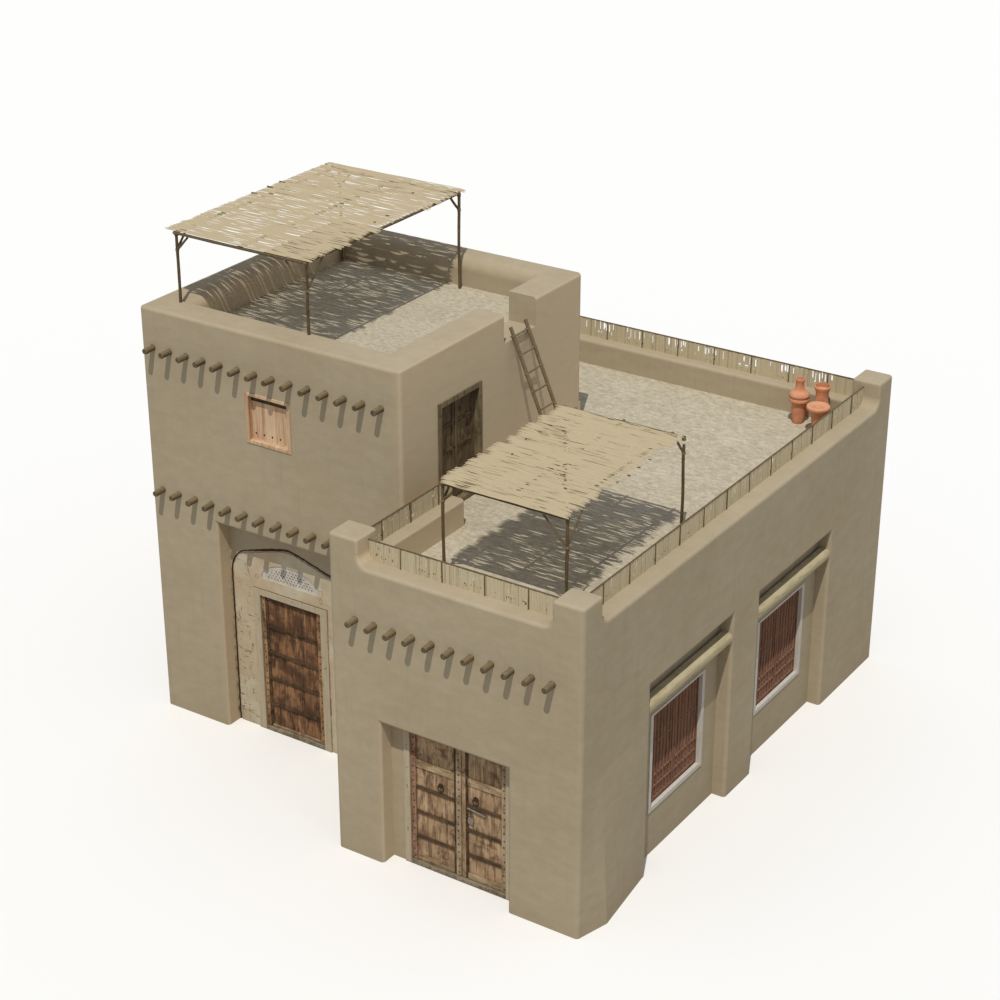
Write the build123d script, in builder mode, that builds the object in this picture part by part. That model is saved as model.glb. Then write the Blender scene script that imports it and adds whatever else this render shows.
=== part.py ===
"""Adobe house with a two-storey tower, a walled roof terrace, reed canopies and timber doors.

Millimetres. The origin is on the ground at the centre of the house's plan.
X runs along the front to the right, Y runs from the front to the back, Z is up.
"""
import math
import os

from build123d import *

os.makedirs("parts", exist_ok=True)

# Plan of the house
house_width = 9880
house_length = 10500
tower_width = 5310
tower_depth = 5450
tower_setback = 1900
wall = 540
left_wall_length = 2880
corner_radius = 75
soft_corner_radius = 110
edge_rounding = 60

# Heights above the ground
floor_thickness = 60
roof_level = 4770
roof_thickness = 370
parapet_top = 5250
pier_rise = 460
pier_cove = 190
pier_shoulder = 100
shoulder_radius = 80
tower_top = 7670
tower_roof_level = 7150
tower_roof_thickness = 120
tower_rounding = 60
pier_rounding = 50
terrace_rounding = 230

# Swelling at the foot of the right front corner
swell_depth = 150
swell_peak = 600
swell_length = 1930
swell_height = 2700

# Recesses in the front walls, with their doors. Those of the tower are placed from its left
# side, and those of the one-storey part from its right side
main_recess_from_left = 2690
main_recess_width = 2540
main_recess_depth = 310
main_recess_top = 4010
yard_recess_from_right = 2480
yard_recess_width = 2380
yard_recess_depth = 290
yard_recess_top = 2620

main_door_from_left = 2700
main_door_width = 1305
main_leaf_top = 2680
main_post_width = 144
yard_door_from_right = 2403
yard_door_width = 1814
yard_leaf_top = 2500
yard_post_width = 108
door_head_height = 110
post_depth = 140
post_proud = 25
sill_height = 75
sill_gap = 10
leaf_gap = 10
pivot_gap = 6
leaf_thickness = 70
board_thickness = 40
stile_width = 95
rail_height = 110
batten_height = 75
batten_depth = 22
first_batten = 450
main_batten_spacing = 515
yard_batten_spacing = 460
main_battens = 4
yard_battens = 4
pin_radius = 15
pin_length = 40
pin_clearance = 0.5

# Plaster arch round the main door, measured from the middle of its recess
arch_half_width = 1255
arch_spring = 3000
arch_haunch_x = 900
arch_haunch_z = 3470
arch_crown = 3730
arch_crown_radius = 700
groove_width = 45
groove_depth = 20

# Perforated half-round vent over the main door
vent_width = 1250
vent_height = 355
vent_sill = 3020
vent_thickness = 60
vent_setback = 15
vent_border = 55
vent_hole = 34
vent_pitch_x = 66
vent_pitch_z = 50

# Beam ends that stand out of the front walls
beam_diameter = 115
beam_overhang = 225
tower_beam_pitch = 363
tower_beam_margin = 250
tower_upper_beam_z = 6970
tower_lower_beam_z = 4350
block_beam_pitch = 357
block_beam_margin = 484
block_beam_z = 4340

# Windows. The niches are placed from the front of the house
niche_depth = 245
niche_width = 2670
niche_top = 3500
niches_from_front = (3365, 6975)
lintel_bottom = 2960
lintel_height = 200
lintel_depth = 190
lintel_rounding = 80
window_width = 1770
window_height = 1840
window_sill = 810
window_frame_width = 117
window_frame_depth = 70
window_frame_proud = 15
shutter_thickness = 40
shutter_lap = 30
shutter_gap = 6
shutter_stile = 75
shutter_rail = 50
baluster_row_height = 180
tower_window_from_left = 2667
tower_window_width = 927
tower_window_height = 900
tower_window_sill = 5724
tower_frame_width = 66
tower_frame_depth = 90

# Door from the upper room to the terrace
upper_door_from_front = 1673
upper_door_width = 1242
upper_door_height = 1970
upper_frame_width = 85
upper_frame_depth = 120
upper_leaf_thickness = 50
upper_leaf_lap = 25
upper_leaf_stile = 100
upper_leaf_rail = 90
upper_leaf_panels = 4
panel_recess = 22

# Gap in the tower parapet for the ladder
gate_from_back = 1985
gate_width = 970
ladder_run = 1015
ladder_above_gate = 150
ladder_width = 450
ladder_rail_radius = 34
rung_radius = 18
rung_spacing = 330
rung_first = 330
rung_stub = 40

# Canopies of reed mats on poles. Their posts are placed from the sides of the house or the tower,
# and pairs of numbers hold the first and the last post
pole_radius = 28
brace_radius = 18
brace_reach = 420
mat_thickness = 36
canopy_clear_height = 1660
terrace_posts_from_tower = 1448
terrace_posts_from_right = 915
terrace_posts_from_front = (1005, 4480)
tower_posts_from_left = (380, 3183)
tower_back_posts_from_left = (600, 3145)
tower_posts_from_front = 445
tower_posts_from_back = 600
mat_overhang = 110

# Reed fences on the parapets
fence_height = 360
fence_thickness = 14
fence_rail = 34
fence_post = 30
fence_post_pitch = 765
fence_inset = 320

# Clay jars on the terrace, placed from the right side and the back of the house
tall_jar_from_corner = (1400, 850)
flared_jar_from_corner = (1000, 765)
low_jar_from_corner = (900, 1110)

# Outlines of the jars: the radius and the height of each corner, from the foot to the rim
tall_jar_height = 858
tall_jar_outline = [
    (105, 0),
    (130, 200),
    (134, 400),
    (190, 425),
    (190, 468),
    (166, 490),
    (186, 512),
    (186, 556),
    (88, 640),
    (76, 700),
    (76, 785),
    (90, 812),
    (84, tall_jar_height - 10),
]
flared_jar_height = 765
flared_mouth_depth = 70
flared_jar_outline = [
    (95, 0),
    (152, 170),
    (156, 330),
    (120, 470),
    (114, 640),
    (150, 738),
    (140, flared_jar_height),
]
low_jar_height = 530
low_mouth_depth = 30
low_jar_outline = [
    (95, 0),
    (108, 220),
    (125, 350),
    (208, 465),
    (214, 508),
    (196, low_jar_height),
]

# Faces of the walls, worked out from the plan
left = -house_width / 2
right = house_width / 2
front = -house_length / 2
back = house_length / 2
tower_right = left + tower_width
tower_front = front + tower_setback
tower_back = tower_front + tower_depth
left_wall_end = front + left_wall_length
pier_top = parapet_top + pier_rise
beyond = 1000

# Places of the openings, beams, canopies and jars, worked out from the faces
main_recess_x = left + main_recess_from_left
main_door_x = left + main_door_from_left
tower_window_x = left + tower_window_from_left
yard_recess_x = right - yard_recess_from_right
yard_door_x = right - yard_door_from_right
niche_centres = [front + place for place in niches_from_front]
upper_door_y = tower_front + upper_door_from_front
gate_y = tower_back - gate_from_back
tower_beam_first = left + tower_beam_margin
tower_beam_count = int((tower_width - 2 * tower_beam_margin) / tower_beam_pitch) + 1
block_beam_first = tower_right + block_beam_margin
block_beam_count = int((right - block_beam_margin - block_beam_first) / block_beam_pitch) + 1
terrace_canopy_x = (tower_right + terrace_posts_from_tower, right - terrace_posts_from_right)
terrace_canopy_y = [front + place for place in terrace_posts_from_front]
tower_canopy_x = [left + place for place in tower_posts_from_left]
tower_canopy_y = (tower_front + tower_posts_from_front, tower_back - tower_posts_from_back)
tower_back_post_x = [left + place for place in tower_back_posts_from_left]

tower_inside_x = (left + wall, tower_right - wall)
tower_inside_y = (tower_front + wall, tower_back - wall)
block_inside_y = (front + wall, back - wall)
main_recess_face = tower_front + main_recess_depth
yard_recess_face = front + yard_recess_depth
niche_face = right - niche_depth
main_doorway = (
    main_door_x - main_door_width / 2 - main_post_width,
    main_door_x + main_door_width / 2 + main_post_width,
)
yard_doorway = (
    yard_door_x - yard_door_width / 2 - yard_post_width,
    yard_door_x + yard_door_width / 2 + yard_post_width,
)
main_head_bottom = main_leaf_top + leaf_gap
main_doorway_top = main_head_bottom + door_head_height
yard_head_bottom = yard_recess_top - door_head_height
leaf_bottom = sill_height + sill_gap
leaf_radius = leaf_thickness / 2


def span(centre, width):
    """The low and high limit of something that is centred on a place."""
    return (centre - width / 2, centre + width / 2)


def block_between(x, y, z, mode=Mode.ADD):
    """A straight-sided block between low and high limits along each axis."""
    with Locations(((x[0] + x[1]) / 2, (y[0] + y[1]) / 2, (z[0] + z[1]) / 2)):
        Box(abs(x[1] - x[0]), abs(y[1] - y[0]), abs(z[1] - z[0]), mode=mode)


def area_between(x, y, mode=Mode.ADD):
    """A rectangle of the plan between low and high limits."""
    with Locations(((x[0] + x[1]) / 2, (y[0] + y[1]) / 2)):
        Rectangle(x[1] - x[0], y[1] - y[0], mode=mode)


def grown(limits, by):
    """The same limits, wider by an amount at each end."""
    return (limits[0] - by, limits[1] + by)


def corners_at(sketch, places):
    """The corners of a plan that stand at the given places."""
    return [
        corner
        for corner in sketch.vertices()
        if any(math.hypot(corner.X - x, corner.Y - y) < 1 for x, y in places)
    ]


def edges_of_top(part, height):
    """The edges that lie level at a height."""
    return part.edges().filter_by_position(Axis.Z, height - 0.5, height + 0.5)


def rod_between(start, end, radius, mode=Mode.ADD):
    """A straight round pole from one point to another."""
    along = Vector(*end) - Vector(*start)
    middle = Vector(*start) + along * 0.5
    with Locations(Plane(origin=middle, z_dir=along)):
        Cylinder(radius, along.length, mode=mode)


def beam_row(first, pitch, count, face, z, mode=Mode.ADD):
    """Round beams that run through a front wall and stand out in front of it."""
    length = wall + beam_overhang
    middle = face + wall - length / 2
    with Locations([(first + pitch * i, middle, z) for i in range(count)]):
        Cylinder(beam_diameter / 2, length, rotation=(90, 0, 0), mode=mode)


def mouth_of(part, axis, face, centre, width, top):
    """The edges at the two sides and the top of a recess, where it opens in a wall.

    axis is the letter of the axis that the wall's face crosses, at the place named face.
    """
    run = "X" if axis == "Y" else "Y"
    sides = span(centre, width)
    found = []
    for edge in part.edges():
        middle = edge.center()
        if abs(getattr(middle, axis) - face) > 1 or middle.Z > top + 1:
            continue
        place = getattr(middle, run)
        if min(abs(place - side) for side in sides) < 1:
            found.append(edge)
        elif abs(middle.Z - top) < 1 and sides[0] < place < sides[1]:
            found.append(edge)
    return found


def parapet_run(start, length, way, pier_at_end=True):
    """A length of parapet with rounded edges, which sweeps up to the corner piers.

    start is the (x, y) place of the middle of its first pier, and way is the direction that it
    runs in. It ends in the middle of another pier, unless pier_at_end is False.
    """
    half = wall / 2
    cove_top = parapet_top + pier_cove
    shoulder = cove_top + pier_shoulder
    along = Plane(origin=(*start, 0), x_dir=(*way, 0), z_dir=(way[1], -way[0], 0))
    with BuildPart() as run:
        with BuildSketch(along) as outline:
            with BuildLine():
                foot = half + pier_cove
                Polyline((0, roof_level), (0, shoulder), (half, shoulder), (half, cove_top))
                CenterArc((foot, cove_top), pier_cove, 180, 90)
                if pier_at_end:
                    Line((foot, parapet_top), (length - foot, parapet_top))
                    CenterArc((length - foot, cove_top), pier_cove, 270, 90)
                    Polyline((length - half, cove_top), (length - half, shoulder), (length, shoulder))
                    Polyline((length, shoulder), (length, roof_level), (0, roof_level))
                else:
                    Polyline(
                        (foot, parapet_top), (length, parapet_top), (length, roof_level), (0, roof_level)
                    )
            make_face()
            shoulders = [
                corner
                for corner in outline.vertices()
                if abs(corner.Y - shoulder) < 1 and half - 1 < corner.X < length - half + 1
            ]
            fillet(shoulders, shoulder_radius)
        extrude(amount=half, both=True)
        rims = []
        for edge in run.edges():
            place = along.to_local_coords(edge.center())
            if place.Y > roof_level + 1 and 1 < place.X < length - 1 and abs(place.Z) > half - 1:
                rims.append(edge)
        fillet(rims, edge_rounding)
    return run.part


def from_corner(corner, inward, reach):
    """The low and high limit of a stretch from a corner, inward by 1 or -1 times its reach."""
    return sorted((corner, corner + inward * reach))


def corner_pier(corner_x, inward_x, corner_y, inward_y):
    """A raised pier on a corner of the roof, above the shoulders of the runs that meet there.

    inward_x and inward_y are 1 or -1, the way from the corner to the inside of the house.
    """
    low = parapet_top + pier_cove + pier_shoulder - shoulder_radius
    with BuildPart() as pier:
        with BuildSketch(Plane.XY.offset(low)) as plan:
            area_between(from_corner(corner_x, inward_x, wall), from_corner(corner_y, inward_y, wall))
            outer = corners_at(plan, [(corner_x, corner_y)])
            fillet([corner for corner in plan.vertices() if corner not in outer], pier_rounding)
            fillet(corners_at(plan, [(corner_x, corner_y)]), corner_radius)
        extrude(amount=pier_top - low)
        fillet(edges_of_top(pier, pier_top), pier_rounding)
        # The outer quarter of the pier below its shoulders, which neither run reaches
        reach = wall / 2 + edge_rounding
        with BuildSketch(Plane.XY.offset(roof_level)) as quarter:
            area_between(from_corner(corner_x, inward_x, reach), from_corner(corner_y, inward_y, reach))
            fillet(corners_at(quarter, [(corner_x, corner_y)]), corner_radius)
        extrude(amount=low - roof_level)
    return pier.part


def part_inside(whole, x, y):
    """What lies of a parapet between low and high limits of the plan."""
    with BuildPart() as piece:
        add(whole)
        block_between(x, y, (roof_level, pier_top), mode=Mode.INTERSECT)
    return piece.part


def vent_outline(shrink=0):
    """The half-round outline of the vent, or one that lies inside it by a margin."""
    Ellipse(vent_width / 2 - shrink, vent_height - shrink)
    with Locations((0, -vent_height)):
        Rectangle(vent_width * 2, vent_height * 2 + shrink * 2, mode=Mode.SUBTRACT)


def finish(piece, name):
    """Label a finished piece and write its file."""
    piece.part.label = name
    export_step(piece.part, f"parts/{name}.step")


# Masonry of the tower, whole, before it is parted into its walls
with BuildPart() as tower_mass:
    with BuildSketch(Plane.XY) as tower_plan:
        area_between((left, tower_right), (tower_front, tower_back))
        fillet(corners_at(tower_plan, [(left, tower_front)]), corner_radius)
    extrude(amount=parapet_top)
    with BuildSketch(Plane.XY.offset(parapet_top)) as upper_plan:
        area_between((left, tower_right), (tower_front, tower_back))
        fillet(corners_at(upper_plan, [(tower_right, tower_front)]), soft_corner_radius)
        fillet(
            corners_at(
                upper_plan, [(left, tower_front), (left, tower_back), (tower_right, tower_back)]
            ),
            corner_radius,
        )
    extrude(amount=tower_top - parapet_top)
    fillet(edges_of_top(tower_mass, tower_top), tower_rounding)
    block_between(tower_inside_x, tower_inside_y, (0, tower_top), mode=Mode.SUBTRACT)
    inner_edges = edges_of_top(tower_mass, tower_top).filter_by(GeomType.LINE)
    shown_inner = [
        edge
        for edge in inner_edges
        if abs(edge.center().X - tower_inside_x[0]) < 1 or abs(edge.center().Y - tower_inside_y[1]) < 1
    ]
    fillet(shown_inner, terrace_rounding)

    block_between(
        span(main_recess_x, main_recess_width),
        (tower_front - beyond, main_recess_face),
        (0, main_recess_top),
        mode=Mode.SUBTRACT,
    )
    block_between(
        main_doorway, (tower_front, tower_front + wall), (0, main_doorway_top), mode=Mode.SUBTRACT
    )
    block_between(
        span(tower_window_x, tower_window_width),
        (tower_front, tower_front + wall),
        (tower_window_sill, tower_window_sill + tower_window_height),
        mode=Mode.SUBTRACT,
    )
    block_between(
        (tower_right - wall, tower_right),
        span(upper_door_y, upper_door_width),
        (roof_level, roof_level + upper_door_height),
        mode=Mode.SUBTRACT,
    )
    block_between(
        (tower_right - wall, tower_right + beyond),
        span(gate_y, gate_width),
        (tower_roof_level, tower_top),
        mode=Mode.SUBTRACT,
    )
    for beam_z in (tower_lower_beam_z, tower_upper_beam_z):
        beam_row(
            tower_beam_first,
            tower_beam_pitch,
            tower_beam_count,
            tower_front,
            beam_z,
            mode=Mode.SUBTRACT,
        )
    recess_mouth = mouth_of(
        tower_mass, "Y", tower_front, main_recess_x, main_recess_width, main_recess_top
    )
    fillet(recess_mouth, edge_rounding)

    # The arch is a groove in the plaster of the recess
    recess_plane = Plane(
        origin=(main_recess_x, main_recess_face, 0), x_dir=(1, 0, 0), z_dir=(0, -1, 0)
    )
    with BuildSketch(recess_plane) as arch_line:
        with BuildLine():
            jamb = Line((-arch_half_width, -beyond), (-arch_half_width, arch_spring))
            haunch = TangentArc(jamb @ 1, (-arch_haunch_x, arch_haunch_z), tangent=jamb % 1)
            Line(haunch @ 1, (0, arch_crown))
            mirror(about=Plane.YZ)
            Line((-arch_half_width, -beyond), (arch_half_width, -beyond))
        make_face()
        fillet(arch_line.vertices().group_by(Axis.Y)[-1], arch_crown_radius)
        offset(amount=-groove_width, kind=Kind.INTERSECTION, mode=Mode.SUBTRACT)
    extrude(amount=-groove_depth, mode=Mode.SUBTRACT)

    vent_plane = Plane(
        origin=(main_door_x, main_recess_face, vent_sill), x_dir=(1, 0, 0), z_dir=(0, -1, 0)
    )
    with BuildSketch(vent_plane):
        vent_outline()
    extrude(amount=-wall, mode=Mode.SUBTRACT)

# Masonry of the one-storey part below its roof level, whole, before it is parted into its walls
block_corners = [(tower_right, front), (right, front), (right, back), (left, back)]

with BuildPart() as block_mass:
    with BuildSketch(Plane.XY) as block_plan:
        area_between((tower_right, right), (front, front + wall))
        area_between((right - wall, right), (front, back))
        area_between((left, right), (back - wall, back))
        area_between((left, left + wall), (tower_back, back))
        area_between((tower_right, tower_right + wall), (front, left_wall_end))
        fillet(corners_at(block_plan, block_corners), corner_radius)
    extrude(amount=roof_level)

    swell_start = front + corner_radius
    swell_end = front + swell_length
    with BuildSketch(Plane.XY) as swell_foot:
        with BuildLine():
            Polyline(
                (right - wall / 2, swell_start),
                (right, swell_start),
                (right + swell_depth, front + swell_peak),
                (right, swell_end),
                (right - wall / 2, swell_end),
                close=True,
            )
        make_face()
    with BuildSketch(Plane.XY.offset(swell_height)) as swell_head:
        with BuildLine():
            Polyline(
                (right - wall / 2, swell_start),
                (right, swell_start),
                (right + 1, front + swell_peak),
                (right, swell_end),
                (right - wall / 2, swell_end),
                close=True,
            )
        make_face()
    loft(sections=[swell_foot.sketch, swell_head.sketch])

    block_between(
        span(yard_recess_x, yard_recess_width),
        (front - beyond, yard_recess_face),
        (0, yard_recess_top),
        mode=Mode.SUBTRACT,
    )
    block_between(yard_doorway, (front, front + wall), (0, yard_recess_top), mode=Mode.SUBTRACT)
    for niche_y in niche_centres:
        block_between(
            (niche_face, right + beyond),
            span(niche_y, niche_width),
            (0, niche_top),
            mode=Mode.SUBTRACT,
        )
        block_between(
            (right - wall, right),
            span(niche_y, window_width),
            (window_sill, window_sill + window_height),
            mode=Mode.SUBTRACT,
        )
    beam_row(block_beam_first, block_beam_pitch, block_beam_count, front, block_beam_z, Mode.SUBTRACT)
    yard_mouth = mouth_of(
        block_mass, "Y", front, yard_recess_x, yard_recess_width, yard_recess_top
    )
    fillet(yard_mouth, edge_rounding)
    for niche_y in niche_centres:
        niche_mouth = mouth_of(block_mass, "X", right, niche_y, niche_width, niche_top)
        fillet(niche_mouth, edge_rounding)

# Parapets on the edges of the roof, each from the middle of a corner pier
front_run = parapet_run(
    (tower_right + wall / 2, front + wall / 2), right - tower_right - wall, (1, 0)
)
right_run = parapet_run((right - wall / 2, front + wall / 2), house_length - wall, (0, 1))
back_run = parapet_run((left + wall / 2, back - wall / 2), house_width - wall, (1, 0))
left_run = parapet_run(
    (tower_right + wall / 2, front + wall / 2), left_wall_length - wall / 2, (0, 1), pier_at_end=False
)
rear_left_run = parapet_run(
    (left + wall / 2, back - wall / 2), back - tower_back - wall / 2, (0, -1), pier_at_end=False
)

# Walls of the tower
front_wall_y = (tower_front - beyond, tower_front + wall)
tower_x = (left, tower_right)

with BuildPart() as tower_front_piers:
    add(tower_mass.part)
    block_between(tower_x, front_wall_y, (0, main_doorway_top), mode=Mode.INTERSECT)
finish(tower_front_piers, "tower_front_piers")

with BuildPart() as tower_door_arch:
    add(tower_mass.part)
    block_between(tower_x, front_wall_y, (main_doorway_top, main_recess_top), mode=Mode.INTERSECT)
finish(tower_door_arch, "tower_door_arch")

with BuildPart() as tower_front_wall:
    add(tower_mass.part)
    block_between(tower_x, front_wall_y, (main_recess_top, tower_top), mode=Mode.INTERSECT)
finish(tower_front_wall, "tower_front_wall")

with BuildPart() as tower_left_wall:
    add(tower_mass.part)
    block_between((left, left + wall), tower_inside_y, (0, tower_top), mode=Mode.INTERSECT)
finish(tower_left_wall, "tower_left_wall")

with BuildPart() as tower_right_wall:
    add(tower_mass.part)
    block_between((tower_right - wall, tower_right), tower_inside_y, (0, tower_top), mode=Mode.INTERSECT)
finish(tower_right_wall, "tower_right_wall")

with BuildPart() as tower_back_wall:
    add(tower_mass.part)
    block_between(tower_x, (tower_back - wall, tower_back), (0, tower_top), mode=Mode.INTERSECT)
finish(tower_back_wall, "tower_back_wall")

# Walls of the one-storey part, below its roof level
block_x = (tower_right, right + beyond)
block_front_y = (front - beyond, front + wall)
right_wall_x = (right - wall, right + beyond)

with BuildPart() as block_front_piers:
    add(block_mass.part)
    block_between(block_x, block_front_y, (0, yard_recess_top), mode=Mode.INTERSECT)
finish(block_front_piers, "block_front_piers")

with BuildPart() as block_front_wall:
    add(block_mass.part)
    block_between(block_x, block_front_y, (yard_recess_top, roof_level), mode=Mode.INTERSECT)
finish(block_front_wall, "block_front_wall")

with BuildPart() as right_wall_piers:
    add(block_mass.part)
    block_between(right_wall_x, block_inside_y, (0, niche_top), mode=Mode.INTERSECT)
    for niche_y in niche_centres:
        block_between(right_wall_x, span(niche_y, niche_width), (0, niche_top), mode=Mode.SUBTRACT)
finish(right_wall_piers, "right_wall_piers")

with BuildPart() as window_walls:
    add(block_mass.part)
    block_between((right - wall, niche_face), block_inside_y, (0, niche_top), mode=Mode.INTERSECT)
    first_niche = span(niche_centres[0], niche_width)
    second_niche = span(niche_centres[1], niche_width)
    for between in (
        (block_inside_y[0], first_niche[0]),
        (first_niche[1], second_niche[0]),
        (second_niche[1], block_inside_y[1]),
    ):
        block_between(right_wall_x, between, (0, niche_top), mode=Mode.SUBTRACT)
finish(window_walls, "window_walls")

with BuildPart() as right_wall_head:
    add(block_mass.part)
    block_between(right_wall_x, block_inside_y, (niche_top, roof_level), mode=Mode.INTERSECT)
finish(right_wall_head, "right_wall_head")

with BuildPart() as block_back_wall:
    add(block_mass.part)
    block_between((left, right), (back - wall, back), (0, roof_level), mode=Mode.INTERSECT)
finish(block_back_wall, "block_back_wall")

with BuildPart() as block_left_wall:
    add(block_mass.part)
    block_between(
        (tower_right, tower_right + wall),
        (front + wall, left_wall_end),
        (0, roof_level),
        mode=Mode.INTERSECT,
    )
finish(block_left_wall, "block_left_wall")

with BuildPart() as rear_left_wall:
    add(block_mass.part)
    block_between((left, left + wall), (tower_back, back - wall), (0, roof_level), mode=Mode.INTERSECT)
finish(rear_left_wall, "rear_left_wall")

# Parapets with their raised corner piers. Each pier takes in the outer half of the side run
front_pier_y = (front + wall / 2, front + wall)
back_pier_y = (back - wall, back - wall / 2)

with BuildPart() as front_parapet:
    add(front_run)
    add(part_inside(left_run, (tower_right, tower_right + wall / 2), front_pier_y))
    add(part_inside(right_run, (right - wall / 2, right), front_pier_y))
    add(corner_pier(tower_right, 1, front, 1))
    add(corner_pier(right, -1, front, 1))
finish(front_parapet, "front_parapet")

with BuildPart() as right_parapet:
    add(part_inside(right_run, (right - wall, right), block_inside_y))
finish(right_parapet, "right_parapet")

with BuildPart() as back_parapet:
    add(back_run)
    add(part_inside(rear_left_run, (left, left + wall / 2), back_pier_y))
    add(part_inside(right_run, (right - wall / 2, right), back_pier_y))
    add(corner_pier(left, 1, back, -1))
    add(corner_pier(right, -1, back, -1))
finish(back_parapet, "back_parapet")

with BuildPart() as left_parapets:
    add(part_inside(left_run, (tower_right, tower_right + wall), (front + wall, left_wall_end)))
    add(part_inside(rear_left_run, (left, left + wall), (tower_back, back - wall)))
finish(left_parapets, "left_parapets")

# Floors and roofs, which bear between the walls
with BuildPart() as ground_floor:
    with BuildSketch(Plane.XY):
        area_between(tower_inside_x, tower_inside_y)
        area_between(main_doorway, (main_recess_face + post_depth - post_proud, tower_front + wall))
        area_between((tower_right + wall, right - wall), block_inside_y)
        area_between((tower_right, right - wall), (left_wall_end, back - wall))
        area_between((left + wall, right - wall), (tower_back, back - wall))
        area_between(yard_doorway, (yard_recess_face + post_depth - post_proud, front + wall))
    extrude(amount=floor_thickness)
finish(ground_floor, "ground_floor")

with BuildPart() as block_roof:
    with BuildSketch(Plane.XY.offset(roof_level)):
        area_between((tower_right + wall, right - wall), block_inside_y)
        area_between((tower_right, right - wall), (left_wall_end, back - wall))
        area_between((left + wall, right - wall), (tower_back, back - wall))
    extrude(amount=-roof_thickness)
finish(block_roof, "block_roof")

with BuildPart() as upper_floor:
    block_between(tower_inside_x, tower_inside_y, (roof_level - roof_thickness, roof_level))
finish(upper_floor, "upper_floor")

with BuildPart() as tower_roof:
    block_between(
        tower_inside_x,
        tower_inside_y,
        (tower_roof_level - tower_roof_thickness, tower_roof_level),
    )
finish(tower_roof, "tower_roof")

# Beam ends
with BuildPart() as tower_upper_beams:
    beam_row(tower_beam_first, tower_beam_pitch, tower_beam_count, tower_front, tower_upper_beam_z)
finish(tower_upper_beams, "tower_upper_beams")

with BuildPart() as tower_lower_beams:
    beam_row(tower_beam_first, tower_beam_pitch, tower_beam_count, tower_front, tower_lower_beam_z)
finish(tower_lower_beams, "tower_lower_beams")

with BuildPart() as block_beams:
    beam_row(block_beam_first, block_beam_pitch, block_beam_count, front, block_beam_z)
finish(block_beams, "block_beams")

# Windows
with BuildPart() as window_lintels:
    for niche_y in niche_centres:
        block_between(
            (right - lintel_depth, right),
            span(niche_y, niche_width),
            (lintel_bottom, lintel_bottom + lintel_height),
        )
    lintel_rims = window_lintels.edges().filter_by(Axis.Y).group_by(Axis.X)[-1]
    fillet(lintel_rims, lintel_rounding)
finish(window_lintels, "window_lintels")

frame_front = niche_face + window_frame_proud
frame_back = frame_front - window_frame_depth
tower_frame_front = tower_front - window_frame_proud
tower_frame_back = tower_frame_front + tower_frame_depth
window_inside_z = (window_sill + window_frame_width, window_sill + window_height - window_frame_width)
tower_window_inside_z = (
    tower_window_sill + tower_frame_width,
    tower_window_sill + tower_window_height - tower_frame_width,
)

with BuildPart() as window_frames:
    for niche_y in niche_centres:
        block_between(
            (frame_back, frame_front),
            span(niche_y, window_width),
            (window_sill, window_sill + window_height),
        )
        block_between(
            (frame_back, frame_front),
            span(niche_y, window_width - 2 * window_frame_width),
            window_inside_z,
            mode=Mode.SUBTRACT,
        )
    block_between(
        span(tower_window_x, tower_window_width),
        (tower_frame_front, tower_frame_back),
        (tower_window_sill, tower_window_sill + tower_window_height),
    )
    block_between(
        span(tower_window_x, tower_window_width - 2 * tower_frame_width),
        (tower_frame_front, tower_frame_back),
        tower_window_inside_z,
        mode=Mode.SUBTRACT,
    )
finish(window_frames, "window_frames")


def panelled_leaf(x, y, z, stile, panels):
    """A fixed leaf that faces the right, with sunk panels between its stiles and rails.

    panels holds the low and high limit of each panel, from the foot of the leaf up.
    """
    block_between(x, y, z)
    for low, high in panels:
        block_between(
            (x[1] - panel_recess, x[1]), grown(y, -stile), (z[0] + low, z[0] + high), mode=Mode.SUBTRACT
        )


with BuildPart() as window_shutters:
    # Two low rows for balusters, and two tall panels for bars
    leaf_height = window_inside_z[1] - window_inside_z[0] + 2 * shutter_lap
    first_row = shutter_lap + shutter_rail
    second_row = first_row + baluster_row_height + shutter_rail
    bars_foot = second_row + baluster_row_height + shutter_rail
    bars_top = leaf_height - first_row
    bars_middle = (bars_foot + bars_top) / 2
    panels = [
        (first_row, first_row + baluster_row_height),
        (second_row, second_row + baluster_row_height),
        (bars_foot, bars_middle - shutter_rail / 2),
        (bars_middle + shutter_rail / 2, bars_top),
    ]
    for niche_y in niche_centres:
        low_y, high_y = grown(span(niche_y, window_width - 2 * window_frame_width), shutter_lap)
        for leaf_y in ((low_y, niche_y - shutter_gap / 2), (niche_y + shutter_gap / 2, high_y)):
            panelled_leaf(
                (frame_back - shutter_thickness, frame_back),
                leaf_y,
                grown(window_inside_z, shutter_lap),
                shutter_stile,
                panels,
            )
    block_between(
        grown(span(tower_window_x, tower_window_width - 2 * tower_frame_width), shutter_lap),
        (tower_frame_back, tower_frame_back + shutter_thickness),
        grown(tower_window_inside_z, shutter_lap),
    )
finish(window_shutters, "window_shutters")

# Vent over the main door
with BuildPart() as lattice_vent:
    vent_face = Plane(
        origin=(main_door_x, main_recess_face + vent_setback, vent_sill),
        x_dir=(1, 0, 0),
        z_dir=(0, -1, 0),
    )
    with BuildSketch(vent_face):
        vent_outline()
        hole_places = []
        inside_x = vent_width / 2 - vent_border - vent_hole
        inside_z = vent_height - vent_border - vent_hole
        rows = int(inside_z / vent_pitch_z) + 1
        columns = int(inside_x / vent_pitch_x) + 1
        for row in range(rows):
            z = vent_border + row * vent_pitch_z
            for column in range(-columns, columns + 1):
                x = (column + 0.5 * (row % 2)) * vent_pitch_x
                if (x / inside_x) ** 2 + (z / inside_z) ** 2 < 1:
                    hole_places.append((x, z))
        with Locations(hole_places):
            RegularPolygon(vent_hole / 2, 4, mode=Mode.SUBTRACT)
    extrude(amount=-vent_thickness)
finish(lattice_vent, "lattice_vent")

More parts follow.
